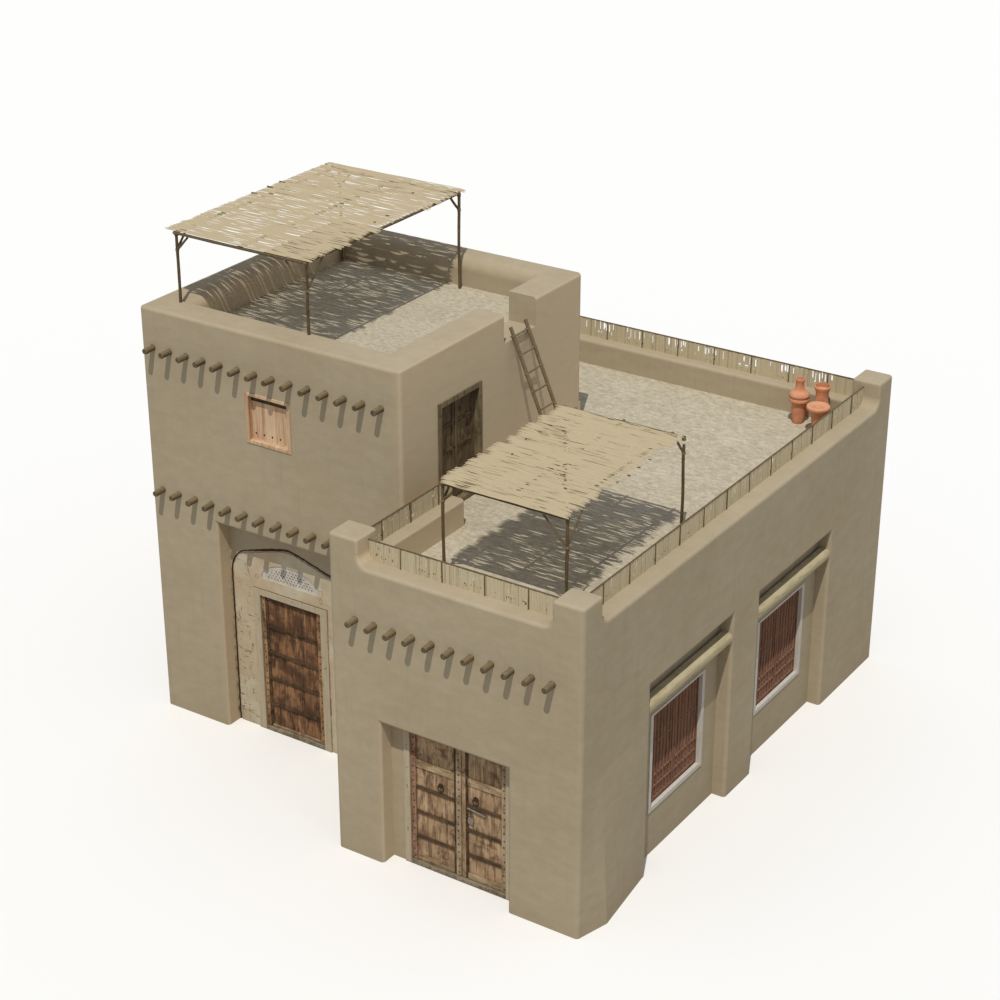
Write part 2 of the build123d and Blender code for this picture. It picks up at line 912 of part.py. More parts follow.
# Frames of the two street doors
main_post_y = (main_recess_face - post_proud, main_recess_face - post_proud + post_depth)
yard_post_y = (yard_recess_face - post_proud, yard_recess_face - post_proud + post_depth)
main_leaf_y = sum(main_post_y) / 2
yard_leaf_y = sum(yard_post_y) / 2
main_opening = span(main_door_x, main_door_width)
yard_opening = span(yard_door_x, yard_door_width)
pivot_inset = pivot_gap + leaf_radius
main_pivot_x = main_opening[0] + pivot_inset
yard_pivots_x = (yard_opening[0] + pivot_inset, yard_opening[1] - pivot_inset)
socket_radius = pin_radius + pin_clearance
foot_socket_bottom = leaf_bottom - pin_length - pin_clearance

with BuildPart() as door_posts:
    block_between((main_doorway[0], main_opening[0]), main_post_y, (0, main_head_bottom))
    block_between((main_opening[1], main_doorway[1]), main_post_y, (0, main_head_bottom))
    block_between((yard_doorway[0], yard_opening[0]), yard_post_y, (0, yard_head_bottom))
    block_between((yard_opening[1], yard_doorway[1]), yard_post_y, (0, yard_head_bottom))
finish(door_posts, "door_posts")

with BuildPart() as door_heads:
    block_between(main_doorway, main_post_y, (main_head_bottom, main_doorway_top))
    block_between(yard_doorway, yard_post_y, (yard_head_bottom, yard_recess_top))
    with Locations((main_pivot_x, main_leaf_y, main_head_bottom)):
        Cylinder(socket_radius, 2 * pin_length, mode=Mode.SUBTRACT)
    with Locations([(x, yard_leaf_y, yard_head_bottom) for x in yard_pivots_x]):
        Cylinder(socket_radius, 2 * pin_length, mode=Mode.SUBTRACT)
finish(door_heads, "door_heads")

with BuildPart() as door_sills:
    block_between(main_opening, main_post_y, (0, sill_height))
    block_between(yard_opening, yard_post_y, (0, sill_height))
    socket_places = [(main_pivot_x, main_leaf_y)] + [(x, yard_leaf_y) for x in yard_pivots_x]
    with Locations([(x, y, foot_socket_bottom) for x, y in socket_places]):
        Cylinder(
            socket_radius,
            sill_height,
            align=(Align.CENTER, Align.CENTER, Align.MIN),
            mode=Mode.SUBTRACT,
        )
finish(door_sills, "door_sills")


def leaf_of_door(pivot_x, pivot_y, toward, reach, top, battens, spacing):
    """A ledged and boarded leaf that hangs on pins at one edge.

    toward is 1 when the leaf reaches to the right of its pivot and -1 when it reaches to the left.
    """
    free_x = pivot_x + toward * reach
    full_y = (pivot_y - leaf_radius, pivot_y + leaf_radius)
    board_y = (pivot_y + leaf_radius - board_thickness, pivot_y + leaf_radius)
    batten_y = (board_y[0] - batten_depth, board_y[0])
    leaf_z = (leaf_bottom, top)
    block_between(sorted((pivot_x, free_x)), board_y, leaf_z)
    block_between(sorted((pivot_x, pivot_x + toward * stile_width)), full_y, leaf_z)
    block_between(sorted((free_x - toward * stile_width, free_x)), full_y, leaf_z)
    with Locations((pivot_x, pivot_y, (leaf_bottom + top) / 2)):
        Cylinder(leaf_radius, top - leaf_bottom)
        Cylinder(pin_radius, top - leaf_bottom + 2 * pin_length)
    for rail_z in ((leaf_bottom, leaf_bottom + rail_height), (top - rail_height, top)):
        block_between(sorted((pivot_x, free_x)), full_y, rail_z)
    for i in range(battens):
        middle_z = leaf_bottom + first_batten + i * spacing
        block_between(sorted((pivot_x, free_x)), batten_y, span(middle_z, batten_height))


with BuildPart() as main_door_leaf:
    main_reach = main_opening[1] - leaf_gap - main_pivot_x
    leaf_of_door(main_pivot_x, main_leaf_y, 1, main_reach, main_leaf_top, main_battens, main_batten_spacing)
finish(main_door_leaf, "main_door_leaf")

# The left leaf of the yard door carries the wide meeting stile, on the door's centre line
meeting_edge = yard_door_x + stile_width / 2

with BuildPart() as yard_door_left_leaf:
    left_reach = meeting_edge - yard_pivots_x[0]
    leaf_of_door(yard_pivots_x[0], yard_leaf_y, 1, left_reach, yard_leaf_top, yard_battens, yard_batten_spacing)
finish(yard_door_left_leaf, "yard_door_left_leaf")

with BuildPart() as yard_door_right_leaf:
    right_reach = yard_pivots_x[1] - meeting_edge - leaf_gap
    leaf_of_door(yard_pivots_x[1], yard_leaf_y, -1, right_reach, yard_leaf_top, yard_battens, yard_batten_spacing)
finish(yard_door_right_leaf, "yard_door_right_leaf")

# Fixed door between the upper room and the terrace
upper_frame_x = (tower_right - upper_frame_depth + post_proud, tower_right + post_proud)
upper_door_z = (roof_level, roof_level + upper_door_height)
upper_opening_y = grown(span(upper_door_y, upper_door_width), -upper_frame_width)
upper_opening_z = grown(upper_door_z, -upper_frame_width)

with BuildPart() as upper_door_frame:
    block_between(upper_frame_x, span(upper_door_y, upper_door_width), upper_door_z)
    block_between(upper_frame_x, upper_opening_y, upper_opening_z, mode=Mode.SUBTRACT)
finish(upper_door_frame, "upper_door_frame")

with BuildPart() as upper_door_leaves:
    upper_leaf_x = (upper_frame_x[0] - upper_leaf_thickness, upper_frame_x[0])
    upper_leaf_z = grown(upper_opening_z, upper_leaf_lap)
    outer_y = grown(upper_opening_y, upper_leaf_lap)
    foot_rail = upper_leaf_lap + upper_leaf_rail
    panel_pitch = (upper_opening_z[1] - upper_opening_z[0] - upper_leaf_rail) / upper_leaf_panels
    panels = [
        (foot_rail + i * panel_pitch, foot_rail + (i + 1) * panel_pitch - upper_leaf_rail)
        for i in range(upper_leaf_panels)
    ]
    for leaf_y in (
        (outer_y[0], upper_door_y - leaf_gap / 2),
        (upper_door_y + leaf_gap / 2, outer_y[1]),
    ):
        panelled_leaf(upper_leaf_x, leaf_y, upper_leaf_z, upper_leaf_stile, panels)
finish(upper_door_leaves, "upper_door_leaves")

# Canopies: posts with braces, poles across the front and back, poles along the sides, mats
terrace_post_top = roof_level + canopy_clear_height
tower_post_top = tower_roof_level + canopy_clear_height


def braced_post(x, y, foot, top, along_x, along_y):
    """A post with two slanting braces that reach up under the poles.

    along_x and along_y are 1 or -1, the way from the post to the inside of the canopy.
    """
    rod_between((x, y, foot), (x, y, top), pole_radius)
    low = top - brace_reach
    rod_between((x, y, low), (x + along_x * brace_reach, y, top), brace_radius)
    rod_between((x, y, low), (x, y + along_y * brace_reach, top), brace_radius)


with BuildPart() as canopy_posts:
    for side, inward in ((0, 1), (1, -1)):
        post_x = terrace_canopy_x[side]
        braced_post(post_x, terrace_canopy_y[0], roof_level, terrace_post_top, inward, 1)
        braced_post(post_x, terrace_canopy_y[1], roof_level, terrace_post_top, inward, -1)
        braced_post(
            tower_canopy_x[side], tower_canopy_y[0], tower_top, tower_post_top, inward, 1
        )
        braced_post(
            tower_back_post_x[side], tower_canopy_y[1], tower_roof_level, tower_post_top, inward, -1
        )
    for top in (terrace_post_top, tower_post_top):
        block_between((left, right), (front, back), (top, top + brace_radius * 2), Mode.SUBTRACT)
finish(canopy_posts, "canopy_posts")

with BuildPart() as canopy_cross_poles:
    for xs, ys, top in (
        (terrace_canopy_x, terrace_canopy_y, terrace_post_top),
        (tower_canopy_x, tower_canopy_y, tower_post_top),
    ):
        for y in ys:
            z = top + pole_radius
            rod_between((xs[0] - mat_overhang, y, z), (xs[1] + mat_overhang, y, z), pole_radius)
finish(canopy_cross_poles, "canopy_cross_poles")

with BuildPart() as canopy_side_poles:
    for xs, ys, top in (
        (terrace_canopy_x, terrace_canopy_y, terrace_post_top),
        (tower_canopy_x, tower_canopy_y, tower_post_top),
    ):
        for x in (xs[0], (xs[0] + xs[1]) / 2, xs[1]):
            z = top + 3 * pole_radius
            rod_between((x, ys[0] - mat_overhang, z), (x, ys[1] + mat_overhang, z), pole_radius)
finish(canopy_side_poles, "canopy_side_poles")

with BuildPart() as canopy_mats:
    for xs, ys, top in (
        (terrace_canopy_x, terrace_canopy_y, terrace_post_top),
        (tower_canopy_x, tower_canopy_y, tower_post_top),
    ):
        z = top + 4 * pole_radius
        block_between(grown(xs, mat_overhang), grown(ys, mat_overhang), (z, z + mat_thickness))
finish(canopy_mats, "canopy_mats")

# Ladder from the terrace to the gap in the tower parapet
ladder_rise = tower_roof_level - roof_level
ladder_slope = math.hypot(ladder_run, ladder_rise)
ladder_way = Vector(-ladder_run / ladder_slope, 0, ladder_rise / ladder_slope)
ladder_normal = Vector(ladder_rise / ladder_slope, 0, ladder_run / ladder_slope)
ladder_rest = Vector(tower_right, gate_y, tower_roof_level) + ladder_normal * ladder_rail_radius
ladder_length = ladder_slope + ladder_above_gate

with BuildPart() as ladder:
    for side in (-1, 1):
        across = Vector(0, side * ladder_width / 2, 0)
        foot = ladder_rest - ladder_way * (ladder_slope + 4 * ladder_rail_radius) + across
        top = ladder_rest + ladder_way * ladder_above_gate + across
        rod_between(tuple(foot), tuple(top), ladder_rail_radius)
    rung_count = int((ladder_length - rung_first) / rung_spacing) + 1
    for i in range(rung_count):
        middle = ladder_rest - ladder_way * (ladder_slope - rung_first - i * rung_spacing)
        half = Vector(0, ladder_width / 2 + rung_stub, 0)
        rod_between(tuple(middle - half), tuple(middle + half), rung_radius)
    block_between((left, right), (front, back), (roof_level - beyond, roof_level), mode=Mode.SUBTRACT)
finish(ladder, "ladder")


def turned_jar(from_corner, outline, middle_height):
    """A thrown clay jar, turned from the (radius, height) corners of its outline.

    The outline runs from the foot up to the rim, and middle_height is where the top or the
    mouth meets the axis.
    """
    x = right - from_corner[0]
    y = back - from_corner[1]
    turning_plane = Plane(origin=(x, y, roof_level), x_dir=(1, 0, 0), z_dir=(0, -1, 0))
    with BuildSketch(turning_plane) as half_section:
        with BuildLine():
            Polyline((0, middle_height), (0, 0), *outline, close=True)
        make_face()
    revolve(half_section.sketch, axis=Axis((x, y, roof_level), (0, 0, 1)))


with BuildPart() as water_jars:
    turned_jar(tall_jar_from_corner, tall_jar_outline, tall_jar_height)
    turned_jar(flared_jar_from_corner, flared_jar_outline, flared_jar_height - flared_mouth_depth)
    turned_jar(low_jar_from_corner, low_jar_outline, low_jar_height - low_mouth_depth)
finish(water_jars, "water_jars")


def fence_between(start, end, along_x):
    """A reed fence between two ends, with a top rail and thin posts.

    start and end are (x, y) places, and along_x says which way the fence runs.
    """
    thin = fence_thickness / 2
    low, high = parapet_top, parapet_top + fence_height
    direction = 0 if along_x else 1

    def piece(run, half, z):
        """One straight piece of the fence along its run."""
        if along_x:
            block_between(run, (start[1] - half, start[1] + half), z)
        else:
            block_between((start[0] - half, start[0] + half), run, z)

    piece((start[direction], end[direction]), thin, (low, high - fence_rail))
    piece((start[direction], end[direction]), fence_rail / 2, (high - fence_rail, high))
    length = end[direction] - start[direction]
    posts = int(length / fence_post_pitch)
    first = (start[direction] + end[direction] - (posts - 1) * fence_post_pitch) / 2
    for i in range(posts):
        place = first + i * fence_post_pitch
        piece(span(place, fence_post), fence_post / 2, (low, high - fence_rail))


# Each fence runs up to the piers at its ends, and its foot follows the sweep of the parapet
with BuildPart() as front_fence:
    y = front + fence_inset
    fence_between((tower_right + wall, y), (right - wall, y), True)
    add(front_run, mode=Mode.SUBTRACT)
finish(front_fence, "front_fence")

with BuildPart() as right_fence:
    x = right - fence_inset
    fence_between((x, front + wall), (x, back - wall), False)
    add(right_run, mode=Mode.SUBTRACT)
finish(right_fence, "right_fence")

with BuildPart() as back_fence:
    y = back - fence_inset
    fence_between((left + wall, y), (right - wall, y), True)
    add(back_run, mode=Mode.SUBTRACT)
finish(back_fence, "back_fence")

with BuildPart() as left_fences:
    x = tower_right + fence_inset
    fence_between((x, front + wall), (x, left_wall_end), False)
    add(left_run, mode=Mode.SUBTRACT)
    x = left + fence_inset
    fence_between((x, tower_back), (x, back - wall), False)
    add(rear_left_run, mode=Mode.SUBTRACT)
finish(left_fences, "left_fences")
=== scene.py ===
"""Looks of an adobe house: mud walls, timber, reed mats, doors, windows, jars and the stage.

Laid out as an add-on and run as a script. Metres, in the frame of the packed CAD part:
X runs along the front to the right, Y from the front to the back, Z is up.
"""
import math
import random

import bpy
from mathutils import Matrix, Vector
from mathutils import noise as fractal


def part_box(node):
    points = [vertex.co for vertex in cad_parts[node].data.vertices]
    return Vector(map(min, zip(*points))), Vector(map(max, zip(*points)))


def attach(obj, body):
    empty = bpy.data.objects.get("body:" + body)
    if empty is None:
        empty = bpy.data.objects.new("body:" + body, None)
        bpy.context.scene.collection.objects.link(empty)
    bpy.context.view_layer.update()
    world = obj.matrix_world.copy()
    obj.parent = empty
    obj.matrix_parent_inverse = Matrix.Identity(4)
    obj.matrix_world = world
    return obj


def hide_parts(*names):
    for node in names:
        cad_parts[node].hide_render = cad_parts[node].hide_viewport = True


bl_info = {
    "name": "Adobe house",
    "version": (1, 0, 0),
    "blender": (4, 5, 0),
    "location": "3D view, sidebar, House",
    "description": "Dresses the packed parts of an adobe house",
    "category": "Object",
}

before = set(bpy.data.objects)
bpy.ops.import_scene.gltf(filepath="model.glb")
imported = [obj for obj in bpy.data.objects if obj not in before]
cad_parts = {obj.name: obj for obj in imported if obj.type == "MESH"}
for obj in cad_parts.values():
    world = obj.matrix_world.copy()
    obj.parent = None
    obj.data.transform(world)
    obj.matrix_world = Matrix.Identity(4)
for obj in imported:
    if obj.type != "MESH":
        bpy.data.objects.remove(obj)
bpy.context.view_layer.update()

# Heights and places that the pieces share with the CAD part
PARAPET_TOP = 5.25
ROOF_LEVEL = 4.77
TERRACE_CANOPY = {
    "x": (1.818, 4.025), "y": (-4.245, -0.770), "top": 6.430, "feet": (4.77, 4.77),
    "mat_x": (1.700, 4.150), "mat_y": (-4.335, -0.850), "ragged": (0.16, 0.15),
}
TOWER_CANOPY = {
    "x": (-4.450, -1.748), "y": (-2.855, 1.430), "top": 8.810, "feet": (7.67, 7.15),
    "mat_x": (-4.700, -1.560), "mat_y": (-2.900, 1.560), "ragged": (0.03, 0.17),
}
TOWER_BACK_LEFT_X = -4.340
RECESS_X = -2.250
RECESS_FACE = -3.040
REVEAL_X = 4.45
POLE = 0.028

# The arch over the main door, measured from the middle of the recess: a crown with
# straight falls, rounded at its top, and round haunches
ARCH_CROWN = 3.73
ARCH_FALL = 0.289
ARCH_ROUNDING = 0.0098
HAUNCH_X = 0.7664
HAUNCH_Z = 3.0
HAUNCH_RADIUS = 0.4886
HAUNCH_START = 0.893

# The leaves of the street doors, and the places of the yard door's ironwork in X and Z
LEAF_FOOT = 0.085
LEAF_HEAD_GAP = 0.03
BOARD_SINK = 0.04
YARD_RINGS = {"left": (2.186, 1.616), "right": (2.847, 1.600)}
PADLOCK_X = 2.758
BATTEN_WIDTH = 0.052
FIRST_BATTEN = 0.45
PIN_RADIUS = 0.0148

# The materials of a street door's leaf, in the order of their slots
BOARD, BATTEN, IRON, STILE, RAIL, PALE, RED, STEEL = range(8)

# Ways that wood grain runs, as a scale along each axis
UPRIGHT = (1.0, 1.0, 0.05)
ALONG_X = (0.05, 1.0, 1.0)
ALONG_Y = (1.0, 0.05, 1.0)
SLOPING = (1.0, 1.0, 0.3)
BOARD_GRAIN = 50.0


def srgb(red, green, blue):
    """A colour for a shader socket from the 0 to 255 values of a picture."""
    linear = []
    for value in (red, green, blue):
        part = value / 255
        linear.append(part / 12.92 if part <= 0.04045 else ((part + 0.055) / 1.055) ** 2.4)
    return (*linear, 1)


# Shader nodes
def plug(tree, value, socket):
    """Link a socket, or set its value."""
    if isinstance(value, bpy.types.NodeSocket):
        tree.links.new(value, socket)
    else:
        socket.default_value = value


def node(tree, kind, settings=None, **inputs):
    """Add a shader node. Inputs are given by name, with _ for a space."""
    made = tree.nodes.new("ShaderNode" + kind)
    for name, value in (settings or {}).items():
        setattr(made, name, value)
    for name, value in inputs.items():
        plug(tree, value, made.inputs[name.replace("_", " ")])
    return made


def calc(tree, operation, *values):
    """The result of a Math node."""
    made = node(tree, "Math", {"operation": operation})
    for value, socket in zip(values, made.inputs):
        plug(tree, value, socket)
    return made.outputs[0]


def product(tree, *values):
    """The product of two or more values."""
    result = values[0]
    for value in values[1:]:
        result = calc(tree, "MULTIPLY", result, value)
    return result


def vector_math(tree, operation, *values):
    """The result of a Vector Math node."""
    made = node(tree, "VectorMath", {"operation": operation})
    for value, socket in zip(values, made.inputs):
        plug(tree, value, socket)
    return made.outputs[0]


def blend(tree, factor, first, second, blend_type="MIX"):
    """The result of a colour Mix node."""
    made = node(tree, "Mix", {"data_type": "RGBA", "blend_type": blend_type})
    for value, index in ((factor, 0), (first, 6), (second, 7)):
        plug(tree, value, made.inputs[index])
    return made.outputs[2]


def stretch(tree, value, low, high, to_low=0.0, to_high=1.0):
    """The result of a Map Range node, clamped."""
    made = node(tree, "MapRange", Value=value, From_Min=low, From_Max=high, To_Min=to_low, To_Max=to_high)
    return made.outputs[0]


def place(tree, scale=(1, 1, 1)):
    """Object coordinates, scaled along each axis."""
    return vector_math(tree, "MULTIPLY", node(tree, "TexCoord").outputs["Object"], scale)


def noise(tree, vector, scale, detail=4.0, roughness=0.55):
    """The value of a Noise Texture."""
    made = node(tree, "TexNoise", Vector=vector, Scale=scale, Detail=detail, Roughness=roughness)
    return made.outputs[0]


def new_group(name, inputs, outputs):
    """A shader node group with named inputs and outputs, and its two ends."""
    tree = bpy.data.node_groups.new(name, "ShaderNodeTree")
    kinds = {"value": "NodeSocketFloat", "vector": "NodeSocketVector", "color": "NodeSocketColor"}
    for label, kind, default in inputs:
        socket = tree.interface.new_socket(label, in_out="INPUT", socket_type=kinds[kind])
        socket.default_value = default
    for label, kind in outputs:
        tree.interface.new_socket(label, in_out="OUTPUT", socket_type=kinds[kind])
    start = tree.nodes.new("NodeGroupInput").outputs
    end = tree.nodes.new("NodeGroupOutput").inputs
    return tree, start, end


def shared(tree, name, **inputs):
    """The outputs of a shared node group in a material."""
    made = node(tree, "Group", {"node_tree": bpy.data.node_groups[name]})
    for label, value in inputs.items():
        plug(tree, value, made.inputs[label.replace("_", " ")])
    return made.outputs


def build_mud_group():
    """Cloudy colour, hand marks and grain of smoothed mud."""
    tree, start, end = new_group(
        "mud_surface",
        [("Cloud Scale", "value", 0.5), ("Grain Scale", "value", 60.0)],
        [("Clouds", "value"), ("Height", "value")],
    )
    spot = place(tree)
    wide = noise(tree, spot, start["Cloud Scale"], 3.0)
    hands = noise(tree, place(tree, (1.0, 1.0, 2.2)), 2.6, 3.0)
    grain = noise(tree, spot, start["Grain Scale"], 4.0, 0.7)
    clouds = calc(tree, "ADD", product(tree, wide, 0.6), product(tree, hands, 0.4))
    plug(tree, stretch(tree, clouds, 0.3, 0.7), end["Clouds"])
    low = calc(tree, "ADD", product(tree, wide, 0.5), product(tree, hands, 0.35))
    plug(tree, calc(tree, "ADD", low, product(tree, grain, 0.06)), end["Height"])


def build_straw_group():
    """Short pale flecks of straw that lie in all directions."""
    tree, start, end = new_group("straw_flecks", [("Density", "value", 0.5)], [("Mask", "value")])
    masks = []
    for turn, scale in ((0.4, 26.0), (1.9, 31.0), (2.7, 22.0)):
        turned = node(tree, "Mapping", Vector=place(tree), Rotation=(turn * 0.7, turn * 1.3, turn))
        turned.inputs["Scale"].default_value = (1.0, 6.0, 6.0)
        cells = node(tree, "TexVoronoi", Vector=turned.outputs[0], Scale=scale / 2.2)
        masks.append(stretch(tree, cells.outputs["Distance"], 0.10, 0.05))
    total = calc(tree, "MAXIMUM", calc(tree, "MAXIMUM", masks[0], masks[1]), masks[2])
    gate = stretch(tree, noise(tree, place(tree), 3.0, 2.0), 0.62, 0.52)
    plug(tree, product(tree, total, gate, start["Density"]), end["Mask"])


def build_crack_group():
    """Thin cracks that wander and break off."""
    tree, start, end = new_group(
        "cracks", [("Scale", "value", 1.5), ("Width", "value", 0.01)], [("Mask", "value")]
    )
    swirl = node(tree, "TexNoise", Vector=place(tree), Scale=2.5, Detail=4.0)
    shift = node(tree, "VectorMath", {"operation": "SCALE"}, Scale=0.35)
    plug(tree, swirl.outputs["Color"], shift.inputs[0])
    bent = vector_math(tree, "ADD", place(tree), shift.outputs[0])
    cells = node(tree, "TexVoronoi", {"feature": "DISTANCE_TO_EDGE"}, Vector=bent, Scale=start["Scale"])
    line = stretch(tree, cells.outputs["Distance"], start["Width"], 0.0)
    gate = stretch(tree, noise(tree, place(tree), 0.9, 3.0), 0.52, 0.6)
    plug(tree, product(tree, line, gate), end["Mask"])


def build_wear_group():
    """Edges that hands and weather have rubbed."""
    tree, start, end = new_group(
        "edge_wear", [("Radius", "value", 0.008), ("Amount", "value", 1.0)], [("Mask", "value")]
    )
    soft = node(tree, "Bevel", {"samples": 4}, Radius=start["Radius"])
    dot = node(tree, "VectorMath", {"operation": "DOT_PRODUCT"})
    plug(tree, soft.outputs[0], dot.inputs[0])
    plug(tree, node(tree, "NewGeometry").outputs["Normal"], dot.inputs[1])
    edge = stretch(tree, dot.outputs["Value"], 0.995, 0.9)
    patches = stretch(tree, noise(tree, place(tree), 14.0, 4.0), 0.35, 0.65)
    plug(tree, product(tree, edge, patches, start["Amount"]), end["Mask"])


def build_grime_and_shade_group():
    """Painted shade with dirt: darker in corners and under ledges, found by ambient occlusion, in patches."""
    tree, start, end = new_group(
        "grime_and_corner_shade", [("Reach", "value", 0.05), ("Amount", "value", 1.0)], [("Mask", "value")]
    )
    # Ambient occlusion finds corners and the undersides of ledges; the mask paints shade there.
    near = node(tree, "AmbientOcclusion", {"samples": 6}, Distance=start["Reach"]).outputs["AO"]
    corner_shade = stretch(tree, near, 0.95, 0.4)
    patches = stretch(tree, noise(tree, place(tree), 11.0, 4.0), 0.3, 0.6, 0.45, 1.0)
    plug(tree, product(tree, corner_shade, patches, start["Amount"]), end["Mask"])


def build_dust_group():
    """Pale dust that settles on faces that look up."""
    tree, start, end = new_group("top_dust", [("Amount", "value", 0.6)], [("Mask", "value")])
    up = node(tree, "SeparateXYZ", Vector=node(tree, "NewGeometry").outputs["Normal"])
    facing = stretch(tree, up.outputs["Z"], 0.3, 0.95)
    patches = stretch(tree, noise(tree, place(tree), 9.0, 4.0), 0.3, 0.7, 0.4, 1.0)
    plug(tree, product(tree, facing, patches, start["Amount"]), end["Mask"])


def build_grain_group():
    """Wood grain along the stretched axis with wider stains, different in each piece."""
    tree, start, end = new_group(
        "wood_grain",
        [("Stretch", "vector", (1.0, 1.0, 0.06)), ("Scale", "value", 40.0)],
        [("Streaks", "value"), ("Stains", "value"), ("Height", "value"), ("Piece", "value")],
    )
    tint = node(tree, "Attribute", {"attribute_name": "tint"}).outputs["Fac"]
    offset = node(tree, "CombineXYZ", X=product(tree, tint, 7.3), Y=product(tree, tint, 3.1))
    spot = node(tree, "TexCoord").outputs["Object"]
    softer = vector_math(tree, "MULTIPLY_ADD", start["Stretch"], (0.8, 0.8, 0.8), (0.2, 0.2, 0.2))
    ways = []
    for factor in (start["Stretch"], softer):
        scaled = vector_math(tree, "MULTIPLY", spot, factor)
        ways.append(vector_math(tree, "ADD", scaled, offset.outputs[0]))
    fibres = node(tree, "TexNoise", Vector=ways[0], Scale=start["Scale"], Detail=6.0, Roughness=0.65)
    fibres.inputs["Distortion"].default_value = 0.6
    wide = product(tree, start["Scale"], 0.25)
    stains = node(tree, "TexNoise", Vector=ways[1], Scale=wide, Detail=5.0, Roughness=0.6)
    plug(tree, stretch(tree, fibres.outputs[0], 0.33, 0.67), end["Streaks"])
    plug(tree, stretch(tree, stains.outputs[0], 0.46, 0.66), end["Stains"])
    plug(tree, fibres.outputs[0], end["Height"])
    plug(tree, tint, end["Piece"])


def build_groups():
    """Build every shared node group once."""
    build_mud_group()
    build_straw_group()
    build_crack_group()
    build_wear_group()
    build_grime_and_shade_group()
    build_dust_group()
    build_grain_group()


def material(name, color, roughness, height, strength, distance, metallic=0.0):
    """A Principled material whose colour, roughness and height come from functions of its tree."""
    made = bpy.data.materials.new(name)
    made.use_nodes = True
    tree = made.node_tree
    shader = tree.nodes["Principled BSDF"]
    plug(tree, color(tree), shader.inputs["Base Color"])
    plug(tree, roughness(tree) if callable(roughness) else roughness, shader.inputs["Roughness"])
    shader.inputs["Metallic"].default_value = metallic
    shader.inputs["Specular IOR Level"].default_value = 0.25
    bump = node(tree, "Bump", Strength=strength, Distance=distance, Height=height(tree))
    plug(tree, bump.outputs[0], shader.inputs["Normal"])
    return made


def mud_height(tree):
    """The height of a mud surface."""
    return shared(tree, "mud_surface")["Height"]


def roof_height(tree):
    """The height of trodden earth that flakes."""
    flakes = noise(tree, place(tree, (7.0, 13.0, 7.0)), 1.3, 3.0, 0.6)
    return calc(tree, "ADD", shared(tree, "mud_surface")["Height"], product(tree, flakes, 0.6))


def wall_color(tree):
    """Tan mud plaster with clouds, straw, a dusty foot and faint runs, and painted light on the reveals that
    face right.
    """
    clouds = shared(tree, "mud_surface", Cloud_Scale=0.45)["Clouds"]
    base = blend(tree, clouds, srgb(170, 156, 130), srgb(184, 171, 146))
    fine = stretch(tree, noise(tree, place(tree), 7.0, 5.0), 0.3, 0.7)
    base = blend(tree, product(tree, fine, 0.18), base, srgb(156, 140, 114))
    straw = shared(tree, "straw_flecks", Density=0.2)["Mask"]
    base = blend(tree, straw, base, srgb(204, 192, 164))
    spot = node(tree, "SeparateXYZ", Vector=place(tree)).outputs
    ragged = calc(tree, "ADD", spot["Z"], product(tree, noise(tree, place(tree), 2.2), 0.5))
    foot = stretch(tree, ragged, 0.75, 0.2, 0.0, 0.3)
    base = blend(tree, foot, base, srgb(162, 146, 122))
    streaks = noise(tree, place(tree, (5.0, 5.0, 0.35)), 1.6, 3.0)
    runs = product(tree, stretch(tree, streaks, 0.58, 0.72), 0.14)
    base = blend(tree, runs, base, srgb(148, 132, 106))
    # Faces that look to +X, left of REVEAL_X, are painted paler: painted light on the reveals.
    facing = node(tree, "SeparateXYZ", Vector=node(tree, "NewGeometry").outputs["Normal"]).outputs["X"]
    sunk = stretch(tree, spot["X"], REVEAL_X, REVEAL_X - 0.05)
    reveal_painted_light = product(tree, stretch(tree, facing, 0.5, 0.9), sunk)
    return blend(tree, product(tree, reveal_painted_light, 0.6), base, srgb(216, 196, 164))


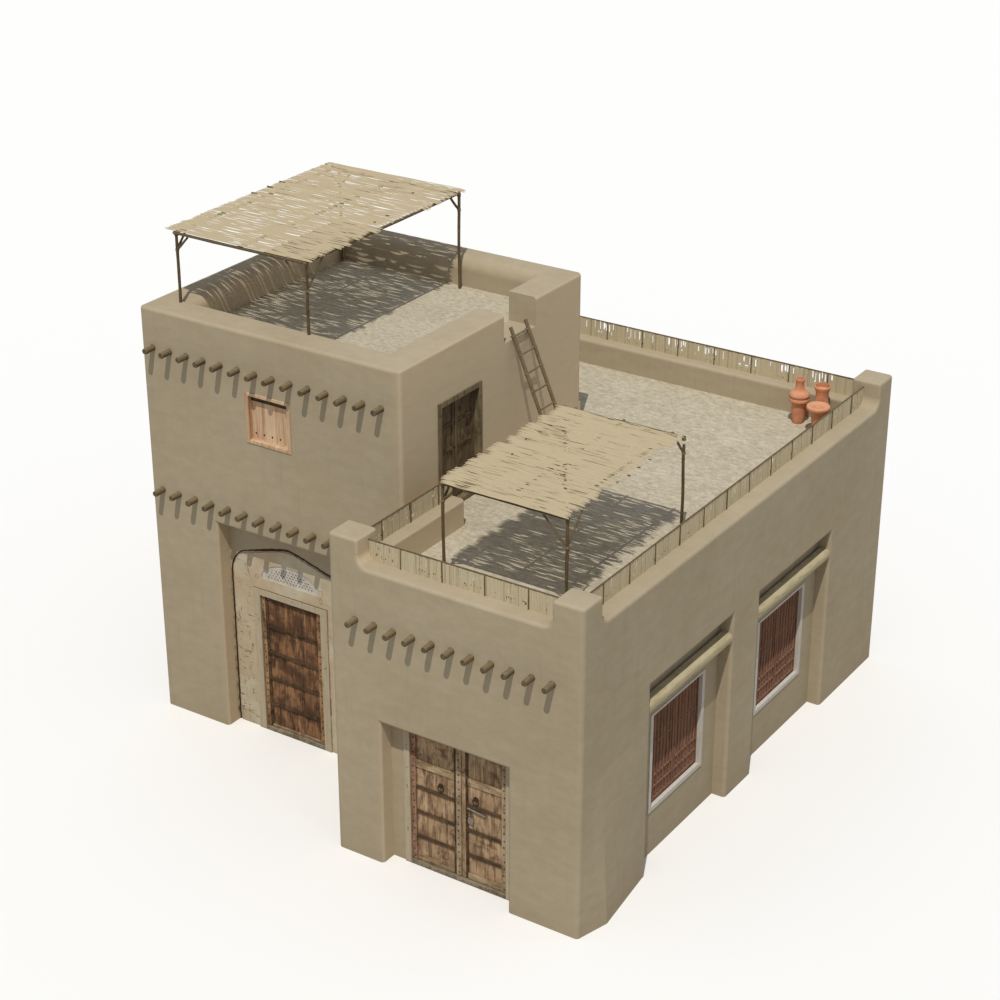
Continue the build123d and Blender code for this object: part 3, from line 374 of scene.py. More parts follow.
def arch_color(tree):
    """The wall of the main recess: off-white plaster inside the arch, mud outside it."""
    base = wall_color(tree)
    spot = node(tree, "SeparateXYZ", Vector=place(tree)).outputs
    across = calc(tree, "SUBTRACT", spot["X"], RECESS_X)
    aside = calc(tree, "ABSOLUTE", across)
    bent = calc(tree, "SQRT", calc(tree, "ADD", product(tree, aside, aside), ARCH_ROUNDING))
    crown = calc(tree, "SUBTRACT", ARCH_CROWN, calc(tree, "MULTIPLY_ADD", bent, ARCH_FALL, spot["Z"]))
    out = calc(tree, "MAXIMUM", calc(tree, "SUBTRACT", aside, HAUNCH_X), 0.0)
    rise = calc(tree, "MAXIMUM", calc(tree, "SUBTRACT", spot["Z"], HAUNCH_Z), 0.0)
    square = calc(tree, "MULTIPLY_ADD", out, out, product(tree, rise, rise))
    corner = calc(tree, "SUBTRACT", HAUNCH_RADIUS, calc(tree, "SQRT", square))
    outer = stretch(tree, aside, HAUNCH_START, HAUNCH_START + 0.004)
    inset = calc(tree, "MULTIPLY_ADD", calc(tree, "SUBTRACT", corner, crown), outer, crown)
    front = stretch(tree, spot["Y"], RECESS_FACE - 0.06, RECESS_FACE - 0.02)
    back = stretch(tree, spot["Y"], RECESS_FACE + 0.05, RECESS_FACE + 0.02)
    inside = product(tree, stretch(tree, inset, 0.0, 0.012), front, back)
    cloud = stretch(tree, noise(tree, place(tree), 3.4, 6.0, 0.6), 0.35, 0.65)
    plaster = blend(tree, cloud, srgb(188, 175, 150), srgb(206, 195, 172))
    warm = stretch(tree, noise(tree, place(tree), 1.5, 4.0), 0.46, 0.62, 0.0, 0.6)
    plaster = blend(tree, warm, plaster, srgb(194, 170, 138))
    aged = product(tree, stretch(tree, across, -0.60, -0.86), stretch(tree, spot["Z"], HAUNCH_Z, 2.6))
    ticks = stretch(tree, noise(tree, place(tree, (3.2, 3.2, 15.0)), 1.7, 4.0, 0.6), 0.62, 0.65)
    upright = stretch(tree, noise(tree, place(tree, (16.0, 1.0, 2.4)), 1.7, 4.0, 0.65), 0.64, 0.665)
    specks = stretch(tree, noise(tree, place(tree), 17.0, 3.0), 0.68, 0.71)
    marks = calc(tree, "MAXIMUM", calc(tree, "MAXIMUM", ticks, specks), upright)
    plaster = blend(tree, product(tree, marks, aged, 0.85), plaster, srgb(92, 74, 54))
    cracks = shared(tree, "cracks", Scale=1.7, Width=0.012)["Mask"]
    plaster = blend(tree, product(tree, cracks, 0.7), plaster, srgb(104, 86, 64))
    base = blend(tree, inside, base, plaster)
    centred = calc(tree, "SUBTRACT", inset, 0.015)
    uneven = calc(tree, "MULTIPLY_ADD", noise(tree, place(tree), 9.0, 4.0), 0.03, centred)
    wide = stretch(tree, across, -1.1, -0.5, 0.010, 0.028)
    line = stretch(tree, calc(tree, "SUBTRACT", calc(tree, "ABSOLUTE", uneven), wide), 0.006, -0.004)
    return blend(tree, product(tree, line, front), base, srgb(70, 50, 38))


def roof_color(tree):
    """Pale trodden earth with small grey and cream flakes."""
    clouds = shared(tree, "mud_surface", Cloud_Scale=0.8)["Clouds"]
    base = blend(tree, clouds, srgb(182, 172, 150), srgb(198, 189, 168))
    flakes = noise(tree, place(tree, (7.0, 13.0, 7.0)), 1.3, 3.0, 0.6)
    base = blend(tree, stretch(tree, flakes, 0.52, 0.62, 0.0, 0.5), base, srgb(158, 148, 130))
    base = blend(tree, stretch(tree, flakes, 0.45, 0.36, 0.0, 0.6), base, srgb(212, 203, 184))
    small = noise(tree, place(tree, (10.0, 24.0, 10.0)), 1.7, 3.0, 0.6)
    base = blend(tree, stretch(tree, small, 0.56, 0.66, 0.0, 0.55), base, srgb(146, 138, 124))
    rust = stretch(tree, noise(tree, place(tree), 1.3, 5.0), 0.6, 0.75)
    base = blend(tree, product(tree, rust, 0.25), base, srgb(180, 156, 130))
    straw = shared(tree, "straw_flecks", Density=0.4)["Mask"]
    return blend(tree, straw, base, srgb(214, 204, 182))


def lintel_color(tree):
    """The paler, yellowish plaster of the lintels, streaked along them."""
    clouds = shared(tree, "mud_surface", Cloud_Scale=2.0)["Clouds"]
    base = blend(tree, clouds, srgb(176, 164, 130), srgb(194, 182, 150))
    runs = stretch(tree, noise(tree, place(tree, (9.0, 2.2, 14.0)), 1.6, 5.0, 0.65), 0.5, 0.66, 0.0, 0.6)
    base = blend(tree, runs, base, srgb(150, 136, 100))
    cracks = shared(tree, "cracks", Scale=3.0, Width=0.02)["Mask"]
    return blend(tree, product(tree, cracks, 0.5), base, srgb(132, 116, 88))


def plaster_color(tree):
    """White gypsum plaster, stained a little, with painted shade deep in its holes."""
    patches = stretch(tree, noise(tree, place(tree), 12.0, 5.0), 0.35, 0.7)
    base = blend(tree, patches, srgb(212, 207, 198), srgb(182, 174, 160))
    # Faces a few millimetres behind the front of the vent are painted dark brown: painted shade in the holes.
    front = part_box("lattice_vent")[0].y
    depth = node(tree, "SeparateXYZ", Vector=place(tree)).outputs["Y"]
    return blend(tree, stretch(tree, depth, front + 0.003, front + 0.008, 0.0, 0.9), base, srgb(72, 62, 50))


def wood_colors(dark, light, worn, dust, stretch_by, scale, stain=0.4, dusty=0.5):
    """A function that makes a wood colour: grain, stains, pieces of different tone, wear and dust."""

    def color(tree):
        """The colour of this wood."""
        grain = shared(tree, "wood_grain", Stretch=stretch_by, Scale=scale)
        base = blend(tree, grain["Streaks"], dark, light)
        tone = stretch(tree, grain["Piece"], 0.0, 1.0, 0.0, 0.45)
        base = blend(tree, tone, base, light)
        base = blend(tree, product(tree, grain["Stains"], stain), base, dark)
        rubbed = shared(tree, "edge_wear", Radius=0.006, Amount=0.6)["Mask"]
        base = blend(tree, rubbed, base, worn)
        return blend(tree, shared(tree, "top_dust", Amount=dusty)["Mask"], base, dust)

    return color


def grain_height(stretch_by, scale):
    """A function that makes the height of a wood surface."""

    def height(tree):
        """The height of this wood's grain."""
        return shared(tree, "wood_grain", Stretch=stretch_by, Scale=scale)["Height"]

    return height


def board_colors(dark, middle, light, stretch_by, aged=0.55):
    """A function that makes the colour of old boards: strong grain, dark stains, pale runs, and dirt with
    painted shade in the corners.
    """

    def color(tree):
        """The colour of these boards."""
        grain = shared(tree, "wood_grain", Stretch=stretch_by, Scale=BOARD_GRAIN)
        base = blend(tree, grain["Streaks"], middle, light)
        base = blend(tree, stretch(tree, grain["Piece"], 0.0, 1.0, 0.6, 0.0), base, middle)
        base = blend(tree, product(tree, grain["Stains"], 0.85), base, dark)
        old = stretch(tree, noise(tree, place(tree), 2.6, 4.0), 0.46, 0.60, 0.0, aged)
        base = blend(tree, old, base, blend(tree, 0.35, dark, middle))
        blot = stretch(tree, noise(tree, place(tree), 5.0, 6.0, 0.65), 0.53, 0.66, 0.0, 0.75)
        base = blend(tree, blot, base, dark)
        runs = noise(tree, place(tree, (14.0, 14.0, 1.4)), 1.0, 3.0)
        base = blend(tree, stretch(tree, runs, 0.60, 0.68, 0.0, 0.55), base, light)
        # Painted shade with dirt: darker in the corners and under the battens.
        base = blend(tree, shared(tree, "grime_and_corner_shade", Reach=0.06, Amount=0.75)["Mask"], base, dark)
        rubbed = shared(tree, "edge_wear", Radius=0.005, Amount=0.7)["Mask"]
        return blend(tree, rubbed, base, light)

    return color


def end_color(tree):
    """Sawn ends of logs, with checks that run from the middle."""
    rings = noise(tree, place(tree), 38.0, 5.0)
    base = blend(tree, stretch(tree, rings, 0.35, 0.65), srgb(79, 68, 49), srgb(122, 110, 86))
    cracks = stretch(tree, noise(tree, place(tree, (6.0, 1.0, 1.2)), 9.0, 2.0), 0.62, 0.68)
    return blend(tree, cracks, base, srgb(47, 36, 24))


def paint_color(tree):
    """Chalky white paint over timber, worn to the wood at its edges."""
    grain = shared(tree, "wood_grain", Stretch=UPRIGHT, Scale=60.0)
    base = blend(tree, grain["Streaks"], srgb(194, 188, 178), srgb(216, 211, 204))
    base = blend(tree, product(tree, grain["Stains"], 0.3), base, srgb(176, 160, 140))
    chipped = stretch(tree, noise(tree, place(tree), 18.0, 6.0, 0.7), 0.64, 0.68)
    base = blend(tree, product(tree, chipped, 0.6), base, srgb(132, 108, 82))
    rubbed = shared(tree, "edge_wear", Radius=0.008, Amount=0.6)["Mask"]
    return blend(tree, rubbed, base, srgb(150, 128, 102))


def jamb_color(tree):
    """Off-white plaster over the door frames, darker in its corners and at the foot: painted shade mixed with
    dirt.
    """
    grain = shared(tree, "wood_grain", Stretch=UPRIGHT, Scale=30.0)
    base = blend(tree, grain["Streaks"], srgb(178, 164, 139), srgb(195, 182, 158))
    base = blend(tree, product(tree, grain["Stains"], 0.35), base, srgb(162, 141, 110))
    chipped = stretch(tree, noise(tree, place(tree), 13.0, 5.0, 0.7), 0.62, 0.66)
    base = blend(tree, product(tree, chipped, 0.7), base, srgb(118, 97, 70))
    # Painted shade with dirt, in the corners of the frame.
    return blend(tree, shared(tree, "grime_and_corner_shade", Reach=0.05, Amount=0.5)["Mask"], base, srgb(105, 85, 61))


def reed_color(tree):
    """Dry split reeds, each of its own tone, with brown joints."""
    grain = shared(tree, "wood_grain", Stretch=ALONG_X, Scale=90.0)
    base = blend(tree, grain["Streaks"], srgb(186, 175, 158), srgb(217, 209, 197))
    base = blend(tree, stretch(tree, grain["Piece"], 0.0, 1.0, 0.0, 0.6), base, srgb(221, 214, 205))
    old = stretch(tree, grain["Piece"], 0.14, 0.0, 0.0, 0.45)
    base = blend(tree, old, base, srgb(153, 135, 113))
    spots = stretch(tree, noise(tree, place(tree, (2.0, 12.0, 12.0)), 5.0, 4.0), 0.62, 0.72)
    return blend(tree, product(tree, spots, 0.35), base, srgb(143, 125, 101))


def stick_color(tree):
    """Upright dry sticks of the fences."""
    grain = shared(tree, "wood_grain", Stretch=UPRIGHT, Scale=120.0)
    base = blend(tree, grain["Streaks"], srgb(180, 166, 134), srgb(208, 196, 166))
    base = blend(tree, stretch(tree, grain["Piece"], 0.0, 1.0, 0.0, 0.6), base, srgb(210, 198, 170))
    old = stretch(tree, grain["Piece"], 0.12, 0.0, 0.0, 0.5)
    return blend(tree, old, base, srgb(140, 122, 90))


def clay_color(tree):
    """Fired clay, paler at the top, with smoke and water marks, and painted shade with dirt in its hollows.
    """
    marks = stretch(tree, noise(tree, place(tree), 9.0, 6.0), 0.35, 0.7)
    base = blend(tree, marks, srgb(220, 156, 119), srgb(199, 132, 97))
    rings = stretch(tree, noise(tree, place(tree, (0.3, 0.3, 1.0)), 70.0, 2.0), 0.4, 0.6, 0.0, 0.3)
    base = blend(tree, rings, base, srgb(164, 106, 76))
    # Painted shade with dirt in the hollows of the jar.
    base = blend(tree, shared(tree, "grime_and_corner_shade", Reach=0.08, Amount=0.6)["Mask"], base, srgb(133, 87, 62))
    rubbed = shared(tree, "edge_wear", Radius=0.01, Amount=0.5)["Mask"]
    base = blend(tree, rubbed, base, srgb(246, 197, 159))
    return blend(tree, shared(tree, "top_dust", Amount=0.5)["Mask"], base, srgb(237, 185, 147))


def clay_height(tree):
    """Wheel marks and grain of thrown clay."""
    rings = noise(tree, place(tree, (0.15, 0.15, 1.0)), 90.0, 2.0)
    return calc(tree, "ADD", rings, product(tree, noise(tree, place(tree), 160.0, 3.0), 0.4))


def iron_color(tree):
    """Forged iron, dark with brown rust."""
    rust = stretch(tree, noise(tree, place(tree), 45.0, 5.0), 0.45, 0.6)
    return blend(tree, rust, srgb(62, 54, 46), srgb(104, 74, 50))


def steel_color(tree):
    """Dull grey steel of the padlock."""
    rust = stretch(tree, noise(tree, place(tree), 60.0, 5.0), 0.5, 0.65)
    return blend(tree, rust, srgb(168, 160, 150), srgb(124, 104, 84))


def fine_height(tree):
    """A fine even grain."""
    return noise(tree, place(tree), 150.0, 4.0)


def build_mud_materials():
    """The materials of mud, plaster and clay."""
    material("mud_wall", wall_color, 0.95, mud_height, 0.5, 0.035)
    material("mud_arch", arch_color, 0.93, mud_height, 0.5, 0.03)
    material("mud_roof", roof_color, 0.97, roof_height, 0.7, 0.03)
    material("lintel_plaster", lintel_color, 0.93, mud_height, 0.6, 0.03)
    material("white_plaster", plaster_color, 0.9, fine_height, 0.3, 0.002)
    material("jamb_plaster", jamb_color, 0.9, grain_height(UPRIGHT, 30.0), 0.6, 0.004)
    material("fired_clay", clay_color, 0.85, clay_height, 0.5, 0.003)


def build_wood_materials():
    """The materials of poles and joinery, from their dark, light, worn and dusty tones."""
    poles = {
        "log_wood": [(78, 65, 46), (128, 112, 85), (144, 127, 97), (148, 132, 103)],
        "pole_wood": [(74, 60, 40), (116, 98, 70), (136, 118, 88), (140, 124, 96)],
        "ladder_wood": [(88, 76, 56), (132, 116, 88), (148, 132, 102), (150, 136, 108)],
    }
    for name, tones in poles.items():
        way, scale = (ALONG_Y, 45.0) if name == "log_wood" else (SLOPING, 30.0)
        bump = (0.7, 0.006) if name == "log_wood" else (0.6, 0.004)
        color = wood_colors(*[srgb(*tone) for tone in tones], way, scale)
        material(name, color, 0.85, grain_height(way, scale), *bump)
    material("log_end", end_color, 0.9, fine_height, 0.6, 0.004)
    tones = [srgb(94, 62, 51), srgb(152, 112, 90), srgb(176, 141, 115), srgb(172, 142, 116)]
    color = wood_colors(*tones, UPRIGHT, 55.0, 0.5, 0.3)
    material("shutter_wood", color, 0.8, grain_height(UPRIGHT, 55.0), 0.6, 0.003)
    tones = [srgb(168, 116, 84), srgb(226, 202, 168), srgb(226, 206, 176), srgb(216, 198, 168)]
    color = wood_colors(*tones, UPRIGHT, 22.0, 0.3, 0.2)
    material("pink_wood", color, 0.85, grain_height(UPRIGHT, 50.0), 0.6, 0.003)
    material("chalk_paint", paint_color, 0.88, grain_height(UPRIGHT, 60.0), 0.5, 0.002)


def build_board_materials():
    """The materials of old boards, from their dark, middle and light tones."""
    boards = {
        "main_boards": ((46, 31, 25), (114, 80, 58), (188, 142, 100)),
        "yard_boards": ((84, 60, 44), (170, 138, 106), (214, 186, 150)),
        "stile_wood": ((92, 64, 42), (160, 122, 84), (196, 160, 118)),
        "red_wood": ((98, 66, 50), (162, 120, 96), (192, 160, 132)),
        "pale_wood": ((112, 92, 70), (170, 146, 116), (200, 182, 152)),
        "terrace_wood": ((64, 52, 38), (108, 90, 66), (132, 112, 84)),
        "olive_wood": ((84, 72, 50), (124, 110, 82), (150, 136, 106)),
    }
    for name, tones in boards.items():
        aged = 0.8 if name == "main_boards" else 0.45
        color = board_colors(*[srgb(*tone) for tone in tones], UPRIGHT, aged)
        material(name, color, 0.82, grain_height(UPRIGHT, BOARD_GRAIN), 0.8, 0.004)
    rails = {
        "batten_wood": ((44, 32, 22), (78, 58, 40), (128, 104, 76)),
        "rail_wood": ((104, 82, 58), (172, 146, 112), (204, 182, 148)),
        "sill_wood": ((96, 84, 66), (146, 134, 112), (180, 170, 150)),
    }
    for name, tones in rails.items():
        color = board_colors(*[srgb(*tone) for tone in tones], ALONG_X)
        material(name, color, 0.84, grain_height(ALONG_X, BOARD_GRAIN), 0.8, 0.004)


def build_materials():
    """Make every material of the house."""
    build_groups()
    build_mud_materials()
    build_wood_materials()
    build_board_materials()
    tones = [srgb(98, 80, 54), srgb(142, 122, 88), srgb(160, 140, 106), srgb(166, 148, 114)]
    material("rope", wood_colors(*tones, (1, 1, 1), 120.0), 0.95, fine_height, 0.7, 0.003)
    material("reed", reed_color, 0.8, grain_height(ALONG_X, 90.0), 0.6, 0.003)
    material("stick", stick_color, 0.85, grain_height(UPRIGHT, 120.0), 0.5, 0.002)
    material("iron", iron_color, 0.6, fine_height, 0.5, 0.001, metallic=0.6)
    material("steel", steel_color, 0.45, fine_height, 0.4, 0.001, metallic=0.7)


# Meshes
def circle(across, other, count):
    """Directions round a circle, from the two that span it."""
    turns = [2 * math.pi * step / count for step in range(count)]
    return [across * math.cos(angle) + other * math.sin(angle) for angle in turns]


def bands(rows, sides):
    """The faces between rings of points that follow each other."""
    faces = []
    for row in range(rows):
        for step in range(sides):
            a = row * sides + step
            b = row * sides + (step + 1) % sides
            faces.append((a, b, b + sides, a + sides))
    return faces


def parts(low, high, count):
    """Equal parts of a length, as their starts and ends."""
    marks = [low + (high - low) * index / count for index in range(count + 1)]
    return list(zip(marks, marks[1:]))


def middles(low, high, count):
    """The middles of equal parts of a length."""
    return [low + (high - low) * (index + 0.5) / count for index in range(count)]


def round_edges(item, width):
    """Round the sharp edges of an object."""
    rounding = item.modifiers.new("rounding", "BEVEL")
    rounding.width = width
    rounding.segments = 2
    rounding.limit_method = "ANGLE"
    rounding.angle_limit = math.radians(50)
    rounding.harden_normals = True


class Shape:
    """Gathers closed pieces of mesh and turns them into one object."""

    def __init__(self, name):
        self.name = name
        self.chance = random.Random(name + "1")
        self.points = []
        self.faces = []
        self.tints = []
        self.slots = []

    def add(self, points, faces, slot=0, tint=None):
        """Add points and the faces between them, all of one tone."""
        first = len(self.points)
        self.points.extend(points)
        tone = self.chance.random() if tint is None else tint
        for face in faces:
            self.faces.append([first + index for index in face])
            self.tints.append(tone)
            self.slots.append(slot)

    def block(self, low, high, slot=0, tint=None, skew=0.0):
        """A block between two corners. skew moves its corners a little at random."""
        corners = []
        for z in (low[2], high[2]):
            for x, y in ((low[0], low[1]), (high[0], low[1]), (high[0], high[1]), (low[0], high[1])):
                shift = [self.chance.uniform(-skew, skew) for _ in range(3)]
                corners.append(Vector((x + shift[0], y + shift[1], z + shift[2])))
        faces = [(3, 2, 1, 0), (4, 5, 6, 7), (0, 1, 5, 4), (1, 2, 6, 5), (2, 3, 7, 6), (3, 0, 4, 7)]
        self.add(corners, faces, slot, tint)

    def tube(self, path, radii, sides=10, slot=0, end_slot=None, flat=1.0):
        """A round piece along a path of points, with a radius at each point."""
        tone = self.chance.random()
        rings = []
        way = (path[1] - path[0]).normalized()
        across = way.orthogonal().normalized()
        for index, point in enumerate(path):
            before = path[max(index - 1, 0)]
            after = path[min(index + 1, len(path) - 1)]
            way = (after - before).normalized()
            across = (across - way * across.dot(way)).normalized()
            other = way.cross(across) * flat
            rings += [point + offset * radii[index] for offset in circle(across, other, sides)]
        last = (len(path) - 1) * sides
        caps = [tuple(range(sides - 1, -1, -1)), tuple(range(last, last + sides))]
        first = len(self.points)
        self.add(rings, bands(len(path) - 1, sides), slot, tone)
        for cap in caps:
            self.faces.append([first + index for index in cap])
            self.tints.append(tone)
            self.slots.append(slot if end_slot is None else end_slot)

    def dome(self, centre, way, radius, height, slot=0, sides=8):
        """A nail head or stud on a face."""
        along = Vector(way).normalized()
        across = along.orthogonal().normalized()
        offsets = circle(across, along.cross(across), sides)
        points = []
        for size, rise in ((1.0, 0.0), (0.92, 0.45), (0.6, 0.85)):
            points += [Vector(centre) + offset * radius * size + along * height * rise for offset in offsets]
        points.append(Vector(centre) + along * height)
        faces = [tuple(range(sides - 1, -1, -1))] + bands(2, sides)
        top = len(points) - 1
        faces += [(2 * sides + step, 2 * sides + (step + 1) % sides, top) for step in range(sides)]
        self.add(points, faces, slot)

    def lathe(self, centre, outline, sides):
        """A turned piece from the (radius, height) points of its outline, on an upright axis."""
        tone = self.chance.random()
        self.chance.random()  # passed over, so that each jar keeps its tone
        points = []
        for radius, height in outline:
            for step in range(sides):
                angle = 2 * math.pi * step / sides
                x, y = centre[0] + radius * math.cos(angle), centre[1] + radius * math.sin(angle)
                points.append(Vector((x, y, centre[2] + height)))
        last = (len(outline) - 1) * sides
        caps = [tuple(range(sides - 1, -1, -1)), tuple(range(last, last + sides))]
        self.add(points, caps[:1] + bands(len(outline) - 1, sides) + caps[1:], 0, tone)

    def coil(self, centre, way, radius, turns, pitch, thickness, slot=0):
        """Rope wound round a pole."""
        along = Vector(way).normalized()
        across = along.orthogonal().normalized()
        other = along.cross(across)
        path = []
        for step in range(turns * 9 + 1):
            angle = 2 * math.pi * step / 9
            rise = (step / 9 - turns / 2) * pitch
            out = (across * math.cos(angle) + other * math.sin(angle)) * radius
            path.append(Vector(centre) + out + along * rise)
        self.tube(path, [thickness] * len(path), sides=5, slot=slot)

    def build(self, materials, body="house", nodes=(), slot=None, bevel=0.0, smooth=35.0):
        """Make the object, with its materials, its place on a body and what it stands for."""
        mesh = bpy.data.meshes.new(self.name)
        mesh.from_pydata([tuple(point) for point in self.points], [], self.faces)
        mesh.update()
        tone = mesh.attributes.new("tint", "FLOAT", "FACE")
        tone.data.foreach_set("value", self.tints)
        for name in materials:
            mesh.materials.append(bpy.data.materials[name])
        mesh.polygons.foreach_set("material_index", self.slots)
        made = bpy.data.objects.new(self.name, mesh)
        bpy.context.scene.collection.objects.link(made)
        mesh.shade_smooth()
        mesh.set_sharp_from_angle(angle=math.radians(smooth))
        if bevel:
            round_edges(made, bevel)
        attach(made, body)
        if nodes:
            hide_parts(*nodes)
        return made


def crooked(chance, start, end, sway, count=8):
    """A path of points from one place to another that wanders a little."""
    start, end = Vector(start), Vector(end)
    way = (end - start).normalized()
    across = way.orthogonal().normalized()
    other = way.cross(across)
    waves = []
    for _ in range(2):
        waves.append((chance.uniform(-1, 1), chance.uniform(0, 6), chance.uniform(1.5, 3.5)))
    path = []
    for step in range(count + 1):
        share = step / count
        fade = math.sin(math.pi * share) ** 0.5 if 0 < share < 1 else 0
        first, second = [size * math.sin(phase + turns * 2 * share) for size, phase, turns in waves]
        path.append(start.lerp(end, share) + (across * first + other * second) * sway * fade)
    return path


def islands(name):
    """The boxes of the separate solids of a CAD node, as (low, high) corners."""
    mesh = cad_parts[name].data
    keys = {}
    parent = []
    index_of = []
    for vertex in mesh.vertices:
        key = tuple(round(value, 4) for value in vertex.co)
        if key not in keys:
            keys[key] = len(parent)
            parent.append(len(parent))
        index_of.append(keys[key])

    def root(item):
        """The first point that a point is joined to."""
        while parent[item] != item:
            parent[item] = parent[parent[item]]
            item = parent[item]
        return item

    for face in mesh.polygons:
        first = root(index_of[face.vertices[0]])
        for other in face.vertices[1:]:
            parent[root(index_of[other])] = first
    boxes = {}
    for key, item in keys.items():
        box = boxes.setdefault(root(item), [list(key), list(key)])
        for axis in range(3):
            box[0][axis] = min(box[0][axis], key[axis])
            box[1][axis] = max(box[1][axis], key[axis])
    return sorted((tuple(low), tuple(high)) for low, high in boxes.values())


def dress(name, material_name, bevel=0.0):
    """Give a CAD node its material, and rounded edges where it has sharp ones."""
    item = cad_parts[name]
    item.data.materials.clear()
    item.data.materials.append(bpy.data.materials[material_name])
    if bevel:
        round_edges(item, bevel)


def lash(shape, spot, way, sizes, turns=4):
    """Rope round a pole of a canopy, where another crosses it."""
    shape.coil(spot, way, POLE + sizes.rope * 0.4, turns, sizes.rope * 2, sizes.rope, slot=1)


def length(label, description, default):
    """A length property in metres."""
    return bpy.props.FloatProperty(
        name=label, description=description, default=default, unit="LENGTH", min=0.0
    )


def count(label, description, default):
    """A whole-number property."""
    return bpy.props.IntProperty(name=label, description=description, default=default, min=1)


class LogSettings(bpy.types.PropertyGroup):
    """Sizes of logs, poles and rope."""

    log_radius: length("Log radius", "Largest radius of a beam end", 0.056)
    log_cut: length("Cut", "How much shorter the shortest beam end is", 0.012)
    pole_sway: length("Sway", "How far a pole wanders from straight", 0.012)
    rope: length("Rope", "Radius of the lashing rope", 0.005)


class MatSettings(bpy.types.PropertyGroup):
    """Sizes of the reed mats."""

    strip_width: length("Strip width", "Mean width of a row of reeds", 0.042)
    strip_thickness: length("Strip thickness", "Thickness of a row of reeds", 0.007)
    slit_width: length("Slit width", "Widest opening between two rows", 0.036)


class FenceSettings(bpy.types.PropertyGroup):
    """Sizes of the fences on the parapets."""

    stick_width: length("Stick width", "Mean width of a stick", 0.017)
    post_pitch: length("Post pitch", "Distance between the thin posts", 0.765)
    cove: length("Cove", "Radius of the parapet's sweep up to a pier", 0.19)


class DoorSettings(bpy.types.PropertyGroup):
    """Sizes of the boards and iron of the doors."""

    plank_width: length("Plank width", "Mean width of a board", 0.19)
    stud_radius: length("Stud radius", "Radius of a large nail head", 0.014)
    stud_pitch: length("Stud pitch", "Distance between nail heads on a stile", 0.13)
    ring_radius: length("Ring radius", "Radius of a ring handle", 0.055)


class WindowSettings(bpy.types.PropertyGroup):
    """Sizes of the window bars and balusters."""

    bar_count: count("Bars", "Upright bars in one leaf", 7)
    bar_radius: length("Bar radius", "Radius of an upright bar", 0.021)


class StageSettings(bpy.types.PropertyGroup):
    """Light of the stage."""

    sun_strength: bpy.props.FloatProperty(name="Sun", description="Strength of the sun lamp", default=2.42)
    sky_strength: bpy.props.FloatProperty(name="Sky", description="Strength of the fill light", default=0.41)
    lens: bpy.props.FloatProperty(name="Lens", description="Focal length in millimetres", default=79.2)


class HOUSE_OT_masonry(bpy.types.Operator):
    """Give the walls, roofs, lintels and plaster their surfaces"""

    bl_idname = "house.masonry"
    bl_label = "Masonry"

    def execute(self, context):
        """Dress the nodes of earth and plaster."""
        walls = (
            "tower_front_wall tower_left_wall tower_right_wall tower_back_wall"
            " block_front_piers block_front_wall block_back_wall block_left_wall rear_left_wall"
            " right_wall_piers window_walls right_wall_head"
            " front_parapet right_parapet back_parapet left_parapets"
        )
        for name in walls.split():
            dress(name, "mud_wall")
        for name in ("tower_front_piers", "tower_door_arch"):
            dress(name, "mud_arch")
        for name in ("ground_floor", "upper_floor", "tower_roof", "block_roof"):
            dress(name, "mud_roof")
        dress("window_lintels", "lintel_plaster")
        dress("lattice_vent", "white_plaster")
        return {"FINISHED"}


class HOUSE_OT_beams(bpy.types.Operator):
    """Make the beam ends as single hewn logs"""

    bl_idname = "house.beams"
    bl_label = "Beam ends"

    def execute(self, context):
        """Build the three rows of logs."""
        sizes = context.scene.house_logs
        for name in ("tower_upper_beams", "tower_lower_beams", "block_beams"):
            logs = Shape(name + "_logs")
            for low, high in islands(name):
                self.log(logs, low, high, sizes)
            logs.build(["log_wood", "log_end"], nodes=[name], slot="dark_poles")
        return {"FINISHED"}

    def log(self, logs, low, high, sizes):
        """One log that runs through the wall, with a rough cut end."""
        chance = logs.chance
        x = (low[0] + high[0]) / 2
        z = (low[2] + high[2]) / 2
        outer = low[1] + chance.uniform(0.0, sizes.log_cut)
        tilt = chance.uniform(-0.006, 0.006)
        drop = chance.uniform(-0.008, 0.002)
        bare = 0.24
        path = [Vector((x, high[1], z)), Vector((x, outer + bare, z))]
        radii = [sizes.log_radius * 0.96, sizes.log_radius * chance.uniform(0.94, 1.0)]
        for share in (0.3, 0.55, 0.8, 0.95, 1.0):
            y = outer + bare * (1 - share)
            path.append(Vector((x + tilt * share, y, z + drop * share)))
            radii.append(sizes.log_radius * chance.uniform(0.9, 1.0) * (0.9 if share == 1.0 else 1.0))
        logs.tube(path, radii, sides=14, end_slot=1)


